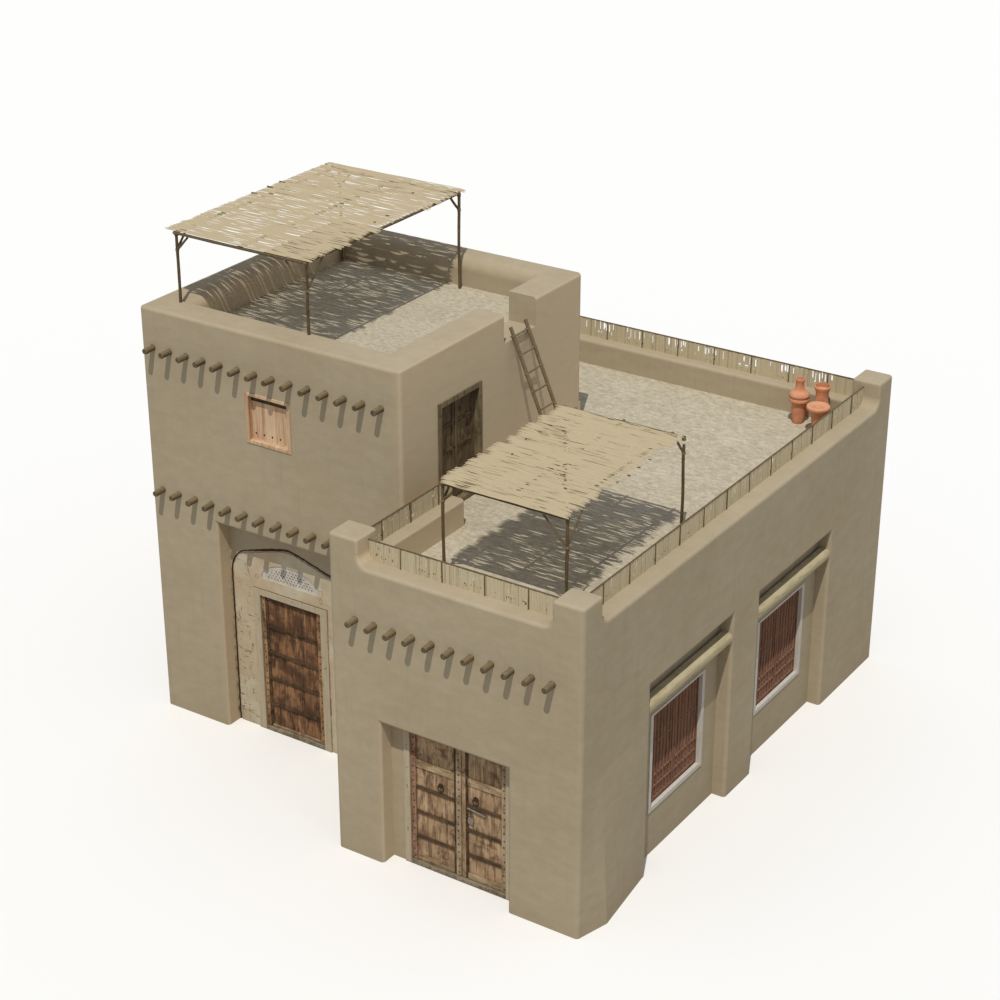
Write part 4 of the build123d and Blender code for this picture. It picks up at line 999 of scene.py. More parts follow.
class HOUSE_OT_canopies(bpy.types.Operator):
    """Make the crooked poles and lashings of the canopies"""

    bl_idname = "house.canopies"
    bl_label = "Canopy poles"

    def execute(self, context):
        """Build posts with braces, cross poles and side poles."""
        sizes = context.scene.house_logs
        posts = Shape("canopy_post_poles")
        cross = Shape("canopy_cross_pole_set")
        sides = Shape("canopy_side_pole_set")
        for canopy in (TERRACE_CANOPY, TOWER_CANOPY):
            self.posts(posts, canopy, sizes)
            self.cross_poles(cross, canopy, sizes)
            self.side_poles(sides, canopy, sizes)
        posts.build(["pole_wood", "rope"], nodes=["canopy_posts"], slot="dark_poles")
        cross.build(["pole_wood", "rope"], nodes=["canopy_cross_poles"], slot="dark_poles")
        sides.build(["pole_wood", "rope"], nodes=["canopy_side_poles"], slot="dark_poles")
        return {"FINISHED"}

    def posts(self, posts, canopy, sizes):
        """The four posts of a canopy: long thin braces at the front right one, short thick ones elsewhere."""
        chance = posts.chance
        top = canopy["top"]
        for row, y in enumerate(canopy["y"]):
            for column, x in enumerate(canopy["x"]):
                if canopy is TOWER_CANOPY and row == 1 and column == 0:
                    x = TOWER_BACK_LEFT_X
                foot = Vector((x, y, canopy["feet"][row]))
                forked = canopy is TERRACE_CANOPY and row == 1 and column == 1
                head = top - 0.05 if forked else top + POLE * 3.2
                path = crooked(chance, foot, (x, y, head), sizes.pole_sway)
                posts.tube(path, [POLE * chance.uniform(0.86, 1.0) for _ in path])
                inward = 1 if column == 0 else -1
                back = 1 if row == 0 else -1
                long = row == 0 and column == 1
                reach, thick = (0.42, 1.0) if long else (0.24, 1.35)
                ends = [(x + inward * reach, y, top + 0.03), (x, y + back * reach, top + 0.05)]
                if forked:
                    reach, thick = 0.22, 1.5
                    ends = [(x - 0.13, y + 0.01, top - 0.03)]
                for end in ends:
                    brace = crooked(chance, (x, y, top - reach + 0.02), end, 0.006, 4)
                    posts.tube(brace, [size * thick for size in (0.015, 0.016, 0.015, 0.014, 0.014)], sides=7)
                for height in (-0.04, reach - 0.02):
                    spot = (x, y, top - height)
                    lash(posts, spot, (0, 0, 1), sizes)

    def cross_poles(self, cross, canopy, sizes):
        """The poles that lie across the posts."""
        z = canopy["top"] + POLE * 2.7
        for y in canopy["y"]:
            hidden = 0.16 if canopy is TERRACE_CANOPY and y > -2 else 0.0
            start = (canopy["x"][0] - 0.04, y - 0.02, z)
            end = (canopy["x"][1] + 0.04 - hidden, y - 0.02, z)
            path = crooked(cross.chance, start, end, sizes.pole_sway * 0.6, 10)
            cross.tube(path, [POLE * cross.chance.uniform(0.85, 1.0) for _ in path])
            for x in canopy["x"]:
                lash(cross, (x, y - 0.02, z), (1, 0, 0), sizes)

    def side_poles(self, sides, canopy, sizes):
        """The poles that carry the mat."""
        z = canopy["top"] + 3 * POLE
        inset = 0.21 if canopy is TERRACE_CANOPY else 0.0
        low, high = canopy["x"][0] + inset, canopy["x"][1] - inset
        for x in (low, (low + high) / 2, high):
            start = (x, canopy["y"][0] + 0.01, z)
            path = crooked(sides.chance, start, (x, canopy["y"][1] + 0.01, z), sizes.pole_sway * 0.5, 12)
            sides.tube(path, [POLE * sides.chance.uniform(0.85, 1.0) for _ in path])
            for y in canopy["y"]:
                lash(sides, (x, y, z), (0, 1, 0), sizes, 3)


class HOUSE_OT_mats(bpy.types.Operator):
    """Lay the reed mats row by row"""

    bl_idname = "house.mats"
    bl_label = "Reed mats"

    def execute(self, context):
        """Build the mats of both canopies."""
        sizes = context.scene.house_mats
        ends = Vector((2.397, -1.708)), Vector((3.516, -3.490))
        seam = [ends[0].lerp(ends[1], share) for share in (0.05, 0.22, 0.6, 0.68, 0.77, 0.87, 1.0)]
        edge = [(4.06, -1.90), (4.05, -2.24), (4.07, -2.58), (4.05, -2.89), (2.17, -2.9), (2.05, -2.3)]
        self.mat("terrace_mat_reeds", TERRACE_CANOPY, sizes, [tuple(spot) for spot in seam] + edge)
        knots = [(-4.60, 1.40), (-1.98, -0.35), (-4.45, 1.36), (-1.95, -0.75), (-2.35, 0.9)]
        self.mat("tower_mat_reeds", TOWER_CANOPY, sizes, knots, stubs=(-0.63, -0.20, 0.14))
        return {"FINISHED"}

    def mat(self, name, canopy, sizes, knots, stubs=()):
        """One mat: rows of reeds along X, side by side, with slits between them and knots."""
        reeds = Shape(name)
        chance = reeds.chance
        x, y = canopy["mat_x"], canopy["mat_y"]
        z = canopy["top"] + 4 * POLE
        run = y[0]
        rows_left = 0
        while run < y[1] - 0.012:
            if not rows_left:
                rows_left = chance.randint(3, 7)
                left, right = [chance.uniform(0.0, size) for size in canopy["ragged"]]
            rows_left -= 1
            left = max(left - chance.uniform(-0.005, 0.03), 0.0)
            right = min(right + chance.uniform(-0.005, 0.03), canopy["ragged"][1])
            width = min(sizes.strip_width * chance.uniform(0.7, 1.25), y[1] - run)
            low = x[0] + left + chance.uniform(0.0, 0.03)
            high = x[1] - right - chance.uniform(0.0, 0.03)
            slits = self.slits(chance, low, high, run, sizes)
            self.row(reeds, (low, high), run, width, z, sizes, slits)
            run += width * 0.97
        for _ in range(40):
            start = chance.uniform(x[0] + 0.05, x[1] - 0.8)
            spot = chance.uniform(y[0] + 0.05, y[1] - 0.05)
            ends = (start, start + chance.uniform(0.25, 0.8))
            self.row(reeds, ends, spot, sizes.strip_width * 0.35, z + sizes.strip_thickness * 1.2, sizes, [])
        top = z + 0.016
        for spot in knots:
            for _ in range(2):
                shift = Vector((chance.uniform(-0.02, 0.02), chance.uniform(-0.014, 0.014), 0))
                knot = Vector((*spot, top)) + shift
                reeds.dome(knot, (0, 0, 1), chance.uniform(0.014, 0.022), 0.012, 1, 6)
        for spot in stubs:
            ends = [Vector((x[0] + near, spot, top + 0.004)) for near in (0.03, 0.15)]
            reeds.tube(ends, [0.013, 0.011], sides=7, slot=1)
        reeds.build(["reed", "pole_wood"], nodes=["canopy_mats"], slot="reed")

    def slits(self, chance, low, high, run, sizes):
        """Openings beside a row, as (middle, half length, width), more of them in some places."""
        found = []
        place_on = low + chance.uniform(0.05, 0.5)
        while place_on < high - 0.12:
            half = chance.uniform(0.07, 0.24)
            busy = 0.50 + 0.95 * fractal.noise(Vector((place_on * 0.9, run * 1.3, 4.0)))
            if chance.random() < busy:
                found.append((place_on + half, half, sizes.slit_width * chance.uniform(0.45, 1.0)))
            place_on += half * 2 + chance.uniform(0.05, 0.4)
        return found

    def row(self, reeds, x, y, width, z, sizes, slits):
        """One row of split reeds, a little bent, with tapered ends and slits at its far side."""
        chance = reeds.chance
        steps = max(int((x[1] - x[0]) / 0.045), 6)
        phase, phase2 = chance.uniform(0, 6), chance.uniform(0, 6)
        tilt = chance.uniform(-0.004, 0.004)
        rise = chance.uniform(0.0, 0.004)
        points = []
        for step in range(steps + 1):
            share = step / steps
            px = x[0] + (x[1] - x[0]) * share
            sway = 0.002 * math.sin(phase + 5 * share) + tilt * (share - 0.5)
            lift = rise + 0.0035 * (1 + math.sin(phase2 + 6 * share)) + 0.002 * math.sin(phase + 23 * share)
            end = min(min(share, 1 - share) * (x[1] - x[0]) / 0.09, 1.0)
            taper = width * 0.5 * (1 - (0.25 + 0.75 * end))
            gaps = [wide * (1 - ((px - middle) / half) ** 2) for middle, half, wide in slits]
            opening = max(gaps + [0.0])
            near = y + sway + taper
            far = max(y + width + sway - taper - opening, near + 0.004)
            base = z + 0.002 + max(lift, 0.0) - 0.010 * (1 - end)
            top = base + sizes.strip_thickness
            slope = (far - near) * 0.22
            points += [
                Vector((px, near, base)), Vector((px, far, base)),
                Vector((px, far - slope, top)), Vector((px, near + slope, top)),
            ]
        last = steps * 4
        reeds.add(points, [(3, 2, 1, 0)] + bands(steps, 4) + [(last, last + 1, last + 2, last + 3)])


class HOUSE_OT_fences(bpy.types.Operator):
    """Make the fences of upright sticks on the parapets"""

    bl_idname = "house.fences"
    bl_label = "Fences"

    def execute(self, context):
        """Build a fence in the place of each CAD panel."""
        sizes = context.scene.house_fences
        for name in ("front_fence", "right_fence", "back_fence", "left_fences"):
            sticks = Shape(name + "_sticks")
            for low, high in islands(name):
                piers = (low[0] > 0, low[0] < 0) if name == "left_fences" else (True, True)
                self.fence(sticks, low, high, sizes, piers, 1.0 if name == "back_fence" else 0.6)
            sticks.build(["stick", "pole_wood"], nodes=[name], slot="reed")
        return {"FINISHED"}

    def foot(self, run, span, piers, sizes):
        """The height of the parapet under a place on the fence."""
        rise = 0.0
        for distance, pier in ((run - span[0], piers[0]), (span[1] - run, piers[1])):
            if pier and distance < sizes.cove:
                rise = sizes.cove - math.sqrt(max(sizes.cove ** 2 - (sizes.cove - distance) ** 2, 0.0))
        return PARAPET_TOP + rise

    def fence(self, sticks, low, high, sizes, piers, airy):
        """Sticks side by side with holes between them, a rail along their tops and thin posts."""
        chance = sticks.chance
        along = 0 if high[0] - low[0] > high[1] - low[1] else 1
        middle = (low[1 - along] + high[1 - along]) / 2
        span = (low[along], high[along])
        ceiling = high[2] - 0.024

        def spot(run, side, z):
            """A point of the fence from its place along, across and up."""
            point = [0.0, 0.0, z]
            point[along] = run
            point[1 - along] = middle + side
            return Vector(point)

        run = span[0] + 0.004
        phase = chance.uniform(0, 6)
        while run < span[1] - 0.006:
            width = min(sizes.stick_width * chance.uniform(0.65, 1.4), span[1] - run)
            ground = self.foot(run + width / 2, span, piers, sizes)
            pieces = [(ground, ceiling)]
            busy = 0.5 + 0.5 * math.sin(run * 8.2 + phase) + 0.3 * math.sin(run * 21 + phase)
            kind = chance.random()
            if kind < 0.34 * busy * airy:
                hole = chance.uniform(0.08, 0.17)
                roof = ceiling - chance.uniform(0.0, 0.05)
                pieces = [(ground, roof - hole), (roof, ceiling)]
            elif kind > 1 - 0.42 * busy:
                sill = ground + chance.uniform(0.05, 0.10)
                pieces = [(ground, sill), (sill + chance.uniform(0.03, 0.06), ceiling)]
            side = chance.uniform(-0.004, 0.004)
            lean = chance.uniform(-0.004, 0.004)
            tone = chance.random()
            for bottom, top in pieces:
                if top - bottom > 0.008:
                    self.stick(sticks, spot, (run, run + width), side, lean, (bottom, top), tone)
            run += width - 0.0004
        ends = [spot(run, 0, ceiling + 0.010) for run in span]
        rail = crooked(chance, *ends, 0.002, 16)
        sticks.tube(rail, [0.0125 * chance.uniform(0.85, 1.0) for _ in rail], sides=8, slot=1)
        posts = int((span[1] - span[0]) / sizes.post_pitch)
        first = (span[0] + span[1] - (posts - 1) * sizes.post_pitch) / 2
        for index in range(posts):
            place_on = first + index * sizes.post_pitch
            ground = self.foot(place_on, span, piers, sizes)
            for side in (-0.011, 0.011):
                top = spot(place_on + chance.uniform(-0.006, 0.006), side, ceiling + 0.012)
                post = crooked(chance, spot(place_on, side, ground), top, 0.002, 4)
                sticks.tube(post, [0.0105, 0.010, 0.010, 0.0095, 0.009], sides=7, slot=1)

    def stick(self, sticks, spot, run, side, lean, z, tone):
        """One flat stick, bowed a little."""
        points = []
        for share in (0.0, 0.5, 1.0):
            bow = side + 0.002 * math.sin(3 * share + run[0] * 40)
            height = z[0] + (z[1] - z[0]) * share
            start, end = [place_on + lean * share for place_on in run]
            corners = ((start, -0.004), (end, -0.004), (end, 0.004), (start, 0.004))
            points += [spot(place_on, bow + half, height) for place_on, half in corners]
        sticks.add(points, [(3, 2, 1, 0), (8, 9, 10, 11)] + bands(2, 4), 0, tone)


class HOUSE_OT_street_doors(bpy.types.Operator):
    """Make the boarded leaves of the two street doors, with their battens, studs and rings"""

    bl_idname = "house.street_doors"
    bl_label = "Street doors"

    def execute(self, context):
        """Build the leaves and dress their frames."""
        sizes = context.scene.house_doors
        main = self.main_leaf(sizes)
        names = ["main_boards", "batten_wood", "iron", "stile_wood", "rail_wood"]
        main.build(names, "main_door", ["main_door_leaf"], "door_timber", 0.003)
        names = ["yard_boards", *names[1:], "pale_wood", "red_wood", "steel"]
        left = self.yard_leaf("yard_left_leaf_boards", "yard_door_left_leaf", True, sizes)
        left.build(names, "yard_left_door", ["yard_door_left_leaf"], "door_timber", 0.003)
        right = self.yard_leaf("yard_right_leaf_boards", "yard_door_right_leaf", False, sizes)
        right.build(names, "yard_right_door", ["yard_door_right_leaf"], "door_timber", 0.003)
        dress("door_posts", "jamb_plaster", 0.006)
        dress("door_heads", "jamb_plaster", 0.006)
        dress("door_sills", "sill_wood", 0.006)
        self.studs()
        self.surround()
        return {"FINISHED"}

    def main_leaf(self, sizes):
        """The leaf of the main door: studded stiles, wide boards and four thin battens."""
        leaf = Shape("main_leaf_boards")
        low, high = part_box("main_door_leaf")
        foot, top = LEAF_FOOT, high.z - LEAF_HEAD_GAP
        board_front = high.y - BOARD_SINK
        self.boards(leaf, (low.x + 0.09, high.x - 0.09), (board_front, high.y), (foot, top), 6)
        self.stile(leaf, (low.x, low.x + 0.075), (low.y + 0.001, high.y), (foot, top), STILE, sizes)
        leaf.block((low.x + 0.075, low.y + 0.016, foot), (low.x + 0.118, board_front + 0.01, top), BATTEN)
        self.stile(leaf, (high.x - 0.095, high.x), (low.y + 0.001, high.y), (foot, top), STILE, sizes)
        # A dark rail across the head of the leaf: a painted shadow of the door head.
        head_shadow_rail = (low.x + 0.118, low.y + 0.012, top - 0.085)
        leaf.block(head_shadow_rail, (high.x - 0.095, board_front + 0.01, top), BATTEN)
        low_rail = (low.x + 0.108, low.y + 0.014, foot)
        leaf.block(low_rail, (high.x - 0.095, board_front + 0.01, foot + 0.035), RAIL)
        for index in range(4):
            self.batten(leaf, (low.x + 0.09, high.x - 0.08), board_front, foot + FIRST_BATTEN + index * 0.515)
        self.pins(leaf, low, high, low.x + 0.035, foot, top)
        return leaf

    def yard_leaf(self, name, node_name, is_left, sizes):
        """A leaf of the yard door, with a wide pale rail above three battens."""
        leaf = Shape(name)
        low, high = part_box(node_name)
        foot, top = LEAF_FOOT, high.z - LEAF_HEAD_GAP
        board_front = high.y - BOARD_SINK
        depth = (low.y + 0.001, high.y)
        inner = (low.x + (0.085 if is_left else 0.07), high.x - 0.095)
        hinge, free = (low.x, inner[0]), (inner[1], high.x)
        dark = (inner[1] - 0.045, inner[1])
        if not is_left:
            hinge, free = free, hinge
            dark = (inner[0], inner[0] + 0.04)
        self.boards(leaf, (inner[0] - 0.01, inner[1] + 0.01), (board_front, high.y), (foot, top), 4)
        self.stile(leaf, hinge, depth, (foot, top), RED if is_left else PALE, sizes)
        if is_left:
            self.stile(leaf, free, depth, (foot, top), PALE, sizes)
        else:
            leaf.block((free[0], depth[0] + 0.006, foot), (free[1], depth[1], top), BOARD, 0.1)
        leaf.block((dark[0], board_front - 0.016, foot), (dark[1], board_front + 0.01, top), BATTEN)
        clear = (inner[0], dark[0]) if is_left else (dark[1], inner[1])
        rails = (
            (foot, foot + 0.105, RAIL, 0.018),
            (top - 0.10, top, BATTEN, 0.018),
            (1.825, 1.955, RAIL, 0.016),
        )
        for bottom, head, slot, proud in rails:
            leaf.block((clear[0], board_front - proud, bottom), (clear[1], board_front + 0.01, head), slot)
        for index in range(3):
            self.batten(leaf, clear, board_front, foot + FIRST_BATTEN + index * 0.46)
        self.nails(leaf, (clear[0] + 0.03, clear[1] - 0.03), board_front - 0.016, 1.89, 0.16, 0.007)
        self.ring(leaf, board_front, YARD_RINGS["left" if is_left else "right"], sizes)
        if not is_left:
            self.hasp(leaf, board_front)
        self.pins(leaf, low, high, low.x + 0.035 if is_left else high.x - 0.035, foot, top)
        return leaf

    def boards(self, leaf, x, y, z, count):
        """Upright boards of uneven width, each sunk a little differently."""
        chance = leaf.chance
        joints = [start + chance.uniform(-0.022, 0.022) for start, _ in parts(*x, count)[1:]]
        edges = [x[0], *joints, x[1]]
        for start, end in zip(edges, edges[1:]):
            sunk = chance.uniform(0.0, 0.005)
            leaf.block((start + 0.002, y[0] + sunk, z[0] + 0.002), (end - 0.002, y[1], z[1] - 0.002))

    def stile(self, leaf, x, y, z, slot, sizes):
        """A stile with a row of large nail heads, one slipped here and there."""
        chance = leaf.chance
        leaf.block((x[0], y[0], z[0]), (x[1], y[1], z[1]), slot, chance.random())
        middle = sum(x) / 2
        height = z[0] + 0.06
        while height < z[1] - 0.03:
            spot = (middle + chance.uniform(-0.008, 0.008), y[0], height + chance.uniform(-0.01, 0.01))
            leaf.dome(spot, (0, -1, 0), sizes.stud_radius, 0.009, IRON)
            height += sizes.stud_pitch

    def batten(self, leaf, x, face, z):
        """A batten across the boards, with a thin worn lip along its top and nails."""
        low, top = z - BATTEN_WIDTH / 2, z + BATTEN_WIDTH / 2
        leaf.block((x[0], face - 0.019, low), (x[1], face + 0.006, top), BATTEN, skew=0.002)
        leaf.block((x[0], face - 0.0205, top - 0.006), (x[1], face, top + 0.001), BATTEN, skew=0.001)
        self.nails(leaf, (x[0] + 0.02, x[1] - 0.02), face - 0.019, z, 0.075, 0.0065)

    def nails(self, leaf, x, y, z, pitch, radius):
        """A row of small nail heads."""
        chance = leaf.chance
        place_on = x[0]
        while place_on < x[1]:
            leaf.dome((place_on, y, z + chance.uniform(-0.008, 0.008)), (0, -1, 0), radius, 0.005, IRON, 6)
            place_on += pitch * chance.uniform(0.8, 1.2)

    def pins(self, leaf, low, high, x, foot, top):
        """The round pins that the leaf turns on."""
        y = (low.y + high.y) / 2
        for z in ((low.z, foot + 0.002), (top - 0.002, high.z)):
            ends = [Vector((x, y, end)) for end in z]
            leaf.tube(ends, [PIN_RADIUS, PIN_RADIUS], sides=20, slot=IRON)

    def ring(self, leaf, face, spot, sizes):
        """A ring handle on a round plate."""
        x, z = spot
        plate = [Vector((x, face + 0.002, z)), Vector((x, face - 0.006, z))]
        leaf.tube(plate, [0.05, 0.044], sides=18, slot=IRON)
        leaf.dome((x, face - 0.006, z), (0, -1, 0), 0.014, 0.012, IRON)
        radius = sizes.ring_radius
        path = []
        for step in range(25):
            angle = 2 * math.pi * step / 24
            height = z - radius * 0.75 + radius * math.cos(angle)
            path.append(Vector((x + radius * math.sin(angle), face - 0.014, height)))
        leaf.tube(path, [0.007] * len(path), sides=8, slot=IRON)

    def hasp(self, leaf, face):
        """A long bar with a chain and a grey padlock."""
        bar = ((2.70, face - 0.020, 1.405), (2.86, face - 0.0205, 1.385), (3.03, face - 0.020, 1.362))
        leaf.tube([Vector(point) for point in bar], [0.015, 0.016, 0.014], sides=8, slot=STEEL)
        for step in range(5):
            z = 1.40 - step * 0.030
            link = []
            for turn in range(9):
                angle = 2 * math.pi * turn / 8
                shift = 0.010 * math.sin(angle)
                aside, out = (shift, 0) if step % 2 else (0, shift * 0.6)
                link.append(Vector((PADLOCK_X + aside, face - 0.014 + out, z + 0.017 * math.cos(angle))))
            leaf.tube(link, [0.0035] * 9, sides=5, slot=IRON)
        half = [(-0.022, 1.232), (-0.022, 1.262), (-0.012, 1.280)]
        shackle = half + [(-x, z) for x, z in reversed(half)]
        bow = [Vector((PADLOCK_X + x, face - 0.013, z)) for x, z in shackle]
        leaf.tube(bow, [0.0055] * len(bow), sides=7, slot=STEEL)
        outline = [(0.036, 1.118), (0.050, 1.136), (0.053, 1.185), (0.048, 1.236), (0.036, 1.244)]
        points = []
        for y in (face - 0.021, face - 0.003):
            points += [Vector((PADLOCK_X + x, y, z)) for x, z in outline]
            points += [Vector((PADLOCK_X - x, y, z)) for x, z in reversed(outline)]
        count = len(outline) * 2
        faces = [tuple(range(count)), tuple(range(2 * count - 1, count - 1, -1))]
        faces += [(i, i + count, (i + 1) % count + count, (i + 1) % count) for i in range(count)]
        leaf.add(points, faces, STEEL)

    def studs(self):
        """Nails in the sills, and a few pairs in the left post of the yard door."""
        studs = Shape("door_frame_studs")
        for low, high in islands("door_sills"):
            x = low[0] + 0.05
            while x < high[0] - 0.03:
                spot = (x, low[1], 0.045 + studs.chance.uniform(-0.01, 0.01))
                studs.dome(spot, (0, -1, 0), 0.010, 0.006, 0, 6)
                x += 0.16
        for low, high in islands("door_posts"):
            if 0 < low[0] < 2:
                for z in (0.62, 0.66, 1.42, 1.46, 2.2):
                    studs.dome(((low[0] + high[0]) / 2, low[1], z), (0, -1, 0), 0.010, 0.006, 0, 6)
        studs.build(["iron"], slot="door_timber")

    def surround(self):
        """The thin dark edge between the frame of the main door and the plaster."""
        strip = Shape("main_door_surround")
        boxes = [box for box in islands("door_posts") if box[0][0] < 0]
        left, right = boxes[0][0][0], boxes[-1][1][0]
        front = RECESS_FACE - 0.006
        back = RECESS_FACE + 0.002
        top = 2.80
        strip.block((left - 0.006, front, top - 0.004), (right + 0.006, back, top + 0.010), skew=0.002)
        for x in (left, right):
            z = top
            while z > 0.3:
                end = z - strip.chance.uniform(0.15, 0.5)
                shift = strip.chance.uniform(-0.005, 0.005)
                low = (x - 0.004 + shift, front + 0.003, max(end, 0.1))
                strip.block(low, (x + 0.005 + shift, back, z), skew=0.001)
                z = end - strip.chance.uniform(0.03, 0.25)
        strip.build(["batten_wood"], slot="door_timber", bevel=0.001)


class HOUSE_OT_windows(bpy.types.Operator):
    """Make the barred shutters of the windows"""

    bl_idname = "house.windows"
    bl_label = "Windows"

    def execute(self, context):
        """Build the shutters behind the CAD frames."""
        sizes = context.scene.house_windows
        frames = Shape("window_joinery")
        for low, high in islands("window_frames"):
            if high[0] - low[0] > high[1] - low[1]:
                self.frame(frames, 0, low, high, 0.062, 0.055, 1)
            else:
                self.frame(frames, 1, low, high, 0.088, 0.045, 0)
        names = ["chalk_paint", "pink_wood"]
        frames.build(names, nodes=["window_frames"], slot="painted_timber", bevel=0.004)
        shutters = Shape("shutter_joinery")
        for low, high in islands("window_shutters"):
            if high[0] - low[0] > high[1] - low[1]:
                self.tower_shutter(shutters, low, high)
            else:
                self.side_shutter(shutters, low, high, sizes)
        names = ["shutter_wood", "iron", "pink_wood", "batten_wood"]
        shutters.build(names, nodes=["window_shutters"], slot="shutter_timber", bevel=0.002)
        return {"FINISHED"}

    def frame(self, frames, along, low, high, side, head, slot):
        """The four rails of a window frame. The head is thinner than the posts."""
        for start, end in ((low[along], low[along] + side), (high[along] - side, high[along])):
            ends = [list(low), list(high)]
            ends[0][along], ends[1][along] = start, end
            frames.block(*ends, slot)
        for bottom, top in ((low[2], low[2] + side * 0.9), (high[2] - head, high[2])):
            ends = [list(low), list(high)]
            ends[0][along] += side
            ends[1][along] -= side
            ends[0][2], ends[1][2] = bottom, top
            frames.block(*ends, slot)

    def side_shutter(self, shutters, low, high, sizes):
        """One leaf: boards, a frame, turned bars and two rows of balusters at the foot."""
        chance = shutters.chance
        high = (high[0], high[1], high[2] + 0.04)
        back, face = low[0], high[0]
        for start, end in parts(low[1], high[1], 5):
            front = back + 0.014 + chance.uniform(0, 0.003)
            shutters.block((back, start + 0.001, low[2]), (front, end - 0.001, high[2]))
        stile, rail = 0.022, 0.050
        span = (low[1] + stile, high[1] - stile)
        for y in ((low[1], span[0]), (span[1], high[1])):
            shutters.block((back + 0.012, y[0], low[2]), (face - 0.002, y[1], high[2]), tint=0.4)
        levels = [low[2] + rise for rise in (0, 0.055, 0.235, 0.268, 0.45, 0.485)]
        levels += [high[2] - rail, high[2]]
        for z in zip(levels[::2], levels[1::2]):
            shutters.block((back + 0.012, span[0], z[0]), (face - 0.006, span[1], z[1]), tint=0.5)
        middle = (levels[5] + levels[6]) / 2
        foot = (back + 0.012, span[0], middle - 0.016)
        shutters.block(foot, (face - 0.014, span[1], middle + 0.016), tint=0.5)
        places = middles(*span, sizes.bar_count)
        for bottom, radius, beads in ((5, sizes.bar_radius, 1), (1, 0.015, 2), (3, 0.015, 2)):
            for y in places:
                ends = levels[bottom:bottom + 2]
                self.spindle(shutters, (face - 0.019, y), *ends, radius, beads)
        for y in places:
            shutters.dome((face - 0.006, y, (levels[4] + levels[5]) / 2), (1, 0, 0), 0.008, 0.006, 1, 6)

    def spindle(self, shutters, spot, foot, top, radius, beads):
        """A turned bar with beads."""
        path, radii = [], []
        steps = beads * 4
        for step in range(steps + 1):
            path.append(Vector((spot[0], spot[1], foot - 0.002 + (top - foot + 0.004) * step / steps)))
            radii.append(radius * ((0.68, 0.85, 1.0, 0.85)[step % 4] if beads > 1 else 0.9))
        shutters.tube(path, radii, sides=8)

    def tower_shutter(self, shutters, low, high):
        """Four upright boards of their own tones, with a row of studs and a dark band at the head that is a
        painted shadow.
        """
        width = high[0] - low[0]
        tops = high[2] - 0.13
        for start, end, tone in ((0.0, 0.34, 0.15), (0.34, 0.62, 1.0), (0.62, 0.84, 0.25), (0.84, 1.0, 0.55)):
            foot = (low[0] + width * start + 0.002, low[1] + 0.004, low[2])
            shutters.block(foot, (low[0] + width * end - 0.002, high[1], tops), 2, tone)
        # A dark block across the head: painted shadow under the head of the opening.
        shutters.block((low[0], low[1] + 0.012, tops - 0.01), (high[0], high[1], high[2]), 3)
        shutters.block((low[0], low[1], low[2]), (high[0], low[1] + 0.006, low[2] + 0.035), 2, 0.8)
        shutters.block((low[0], low[1] + 0.001, low[2]), (low[0] + 0.022, low[1] + 0.006, tops), 2, 0.6)
        for index in range(5):
            x = low[0] + width * (index + 0.6) / 5.1
            shutters.dome((x, low[1] + 0.004, low[2] + 0.13), (0, -1, 0), 0.018, 0.010, 1)


class HOUSE_OT_terrace_door(bpy.types.Operator):
    """Make the panelled leaves of the door to the terrace"""

    bl_idname = "house.terrace_door"
    bl_label = "Terrace door"

    def execute(self, context):
        """Build the two leaves behind the CAD frame."""
        dress("upper_door_frame", "olive_wood", 0.008)
        leaves = Shape("terrace_door_boards")
        boxes = islands("upper_door_leaves")
        for index, (low, high) in enumerate(boxes):
            face = high[0]
            for start, end in parts(low[1], high[1], 3):
                leaves.block((low[0], start + 0.001, low[2]), (face - 0.020, end - 0.001, high[2]))
            for y in ((low[1], low[1] + 0.07), (high[1] - 0.07, high[1])):
                leaves.block((face - 0.024, y[0], low[2]), (face, y[1], high[2]))
            rise = (high[2] - low[2] - 0.06) / 4
            for rail in range(5):
                z = low[2] + rise * rail
                ends = (face - 0.024, low[1] + 0.07, z), (face - 0.006, high[1] - 0.07, z + 0.06)
                leaves.block(*ends, skew=0.002)
                middle = (face - 0.006, (low[1] + high[1]) / 2, z + 0.02)
                self.strap(leaves, middle, high[1] - low[1])
            side = high[1] - 0.04 if index == 0 else low[1] + 0.04
            leaves.dome((face, side, low[2] + 0.95), (1, 0, 0), 0.02, 0.018, 1)
        (low, high), (other, _) = boxes
        middle = (high[1] + other[1]) / 2
        foot = (high[0] - 0.004, middle - 0.022, low[2])
        leaves.block(foot, (high[0] + 0.016, middle + 0.022, high[2] - 0.03), 0, 0.9)
        names = ["terrace_wood", "iron", "olive_wood"]
        leaves.build(names, nodes=["upper_door_leaves"], slot="door_timber", bevel=0.003)
        return {"FINISHED"}

    def strap(self, leaves, spot, width):
        """A thin iron strap, bent a little, along a rail."""
        path = []
        for step in range(7):
            share = step / 6 - 0.5
            dip = 0.025 * (2 * share) ** 2
            path.append(Vector((spot[0] - 0.002, spot[1] + width * 0.62 * share, spot[2] - dip)))
        leaves.tube(path, [0.009] * 7, sides=6, slot=1, flat=0.6)


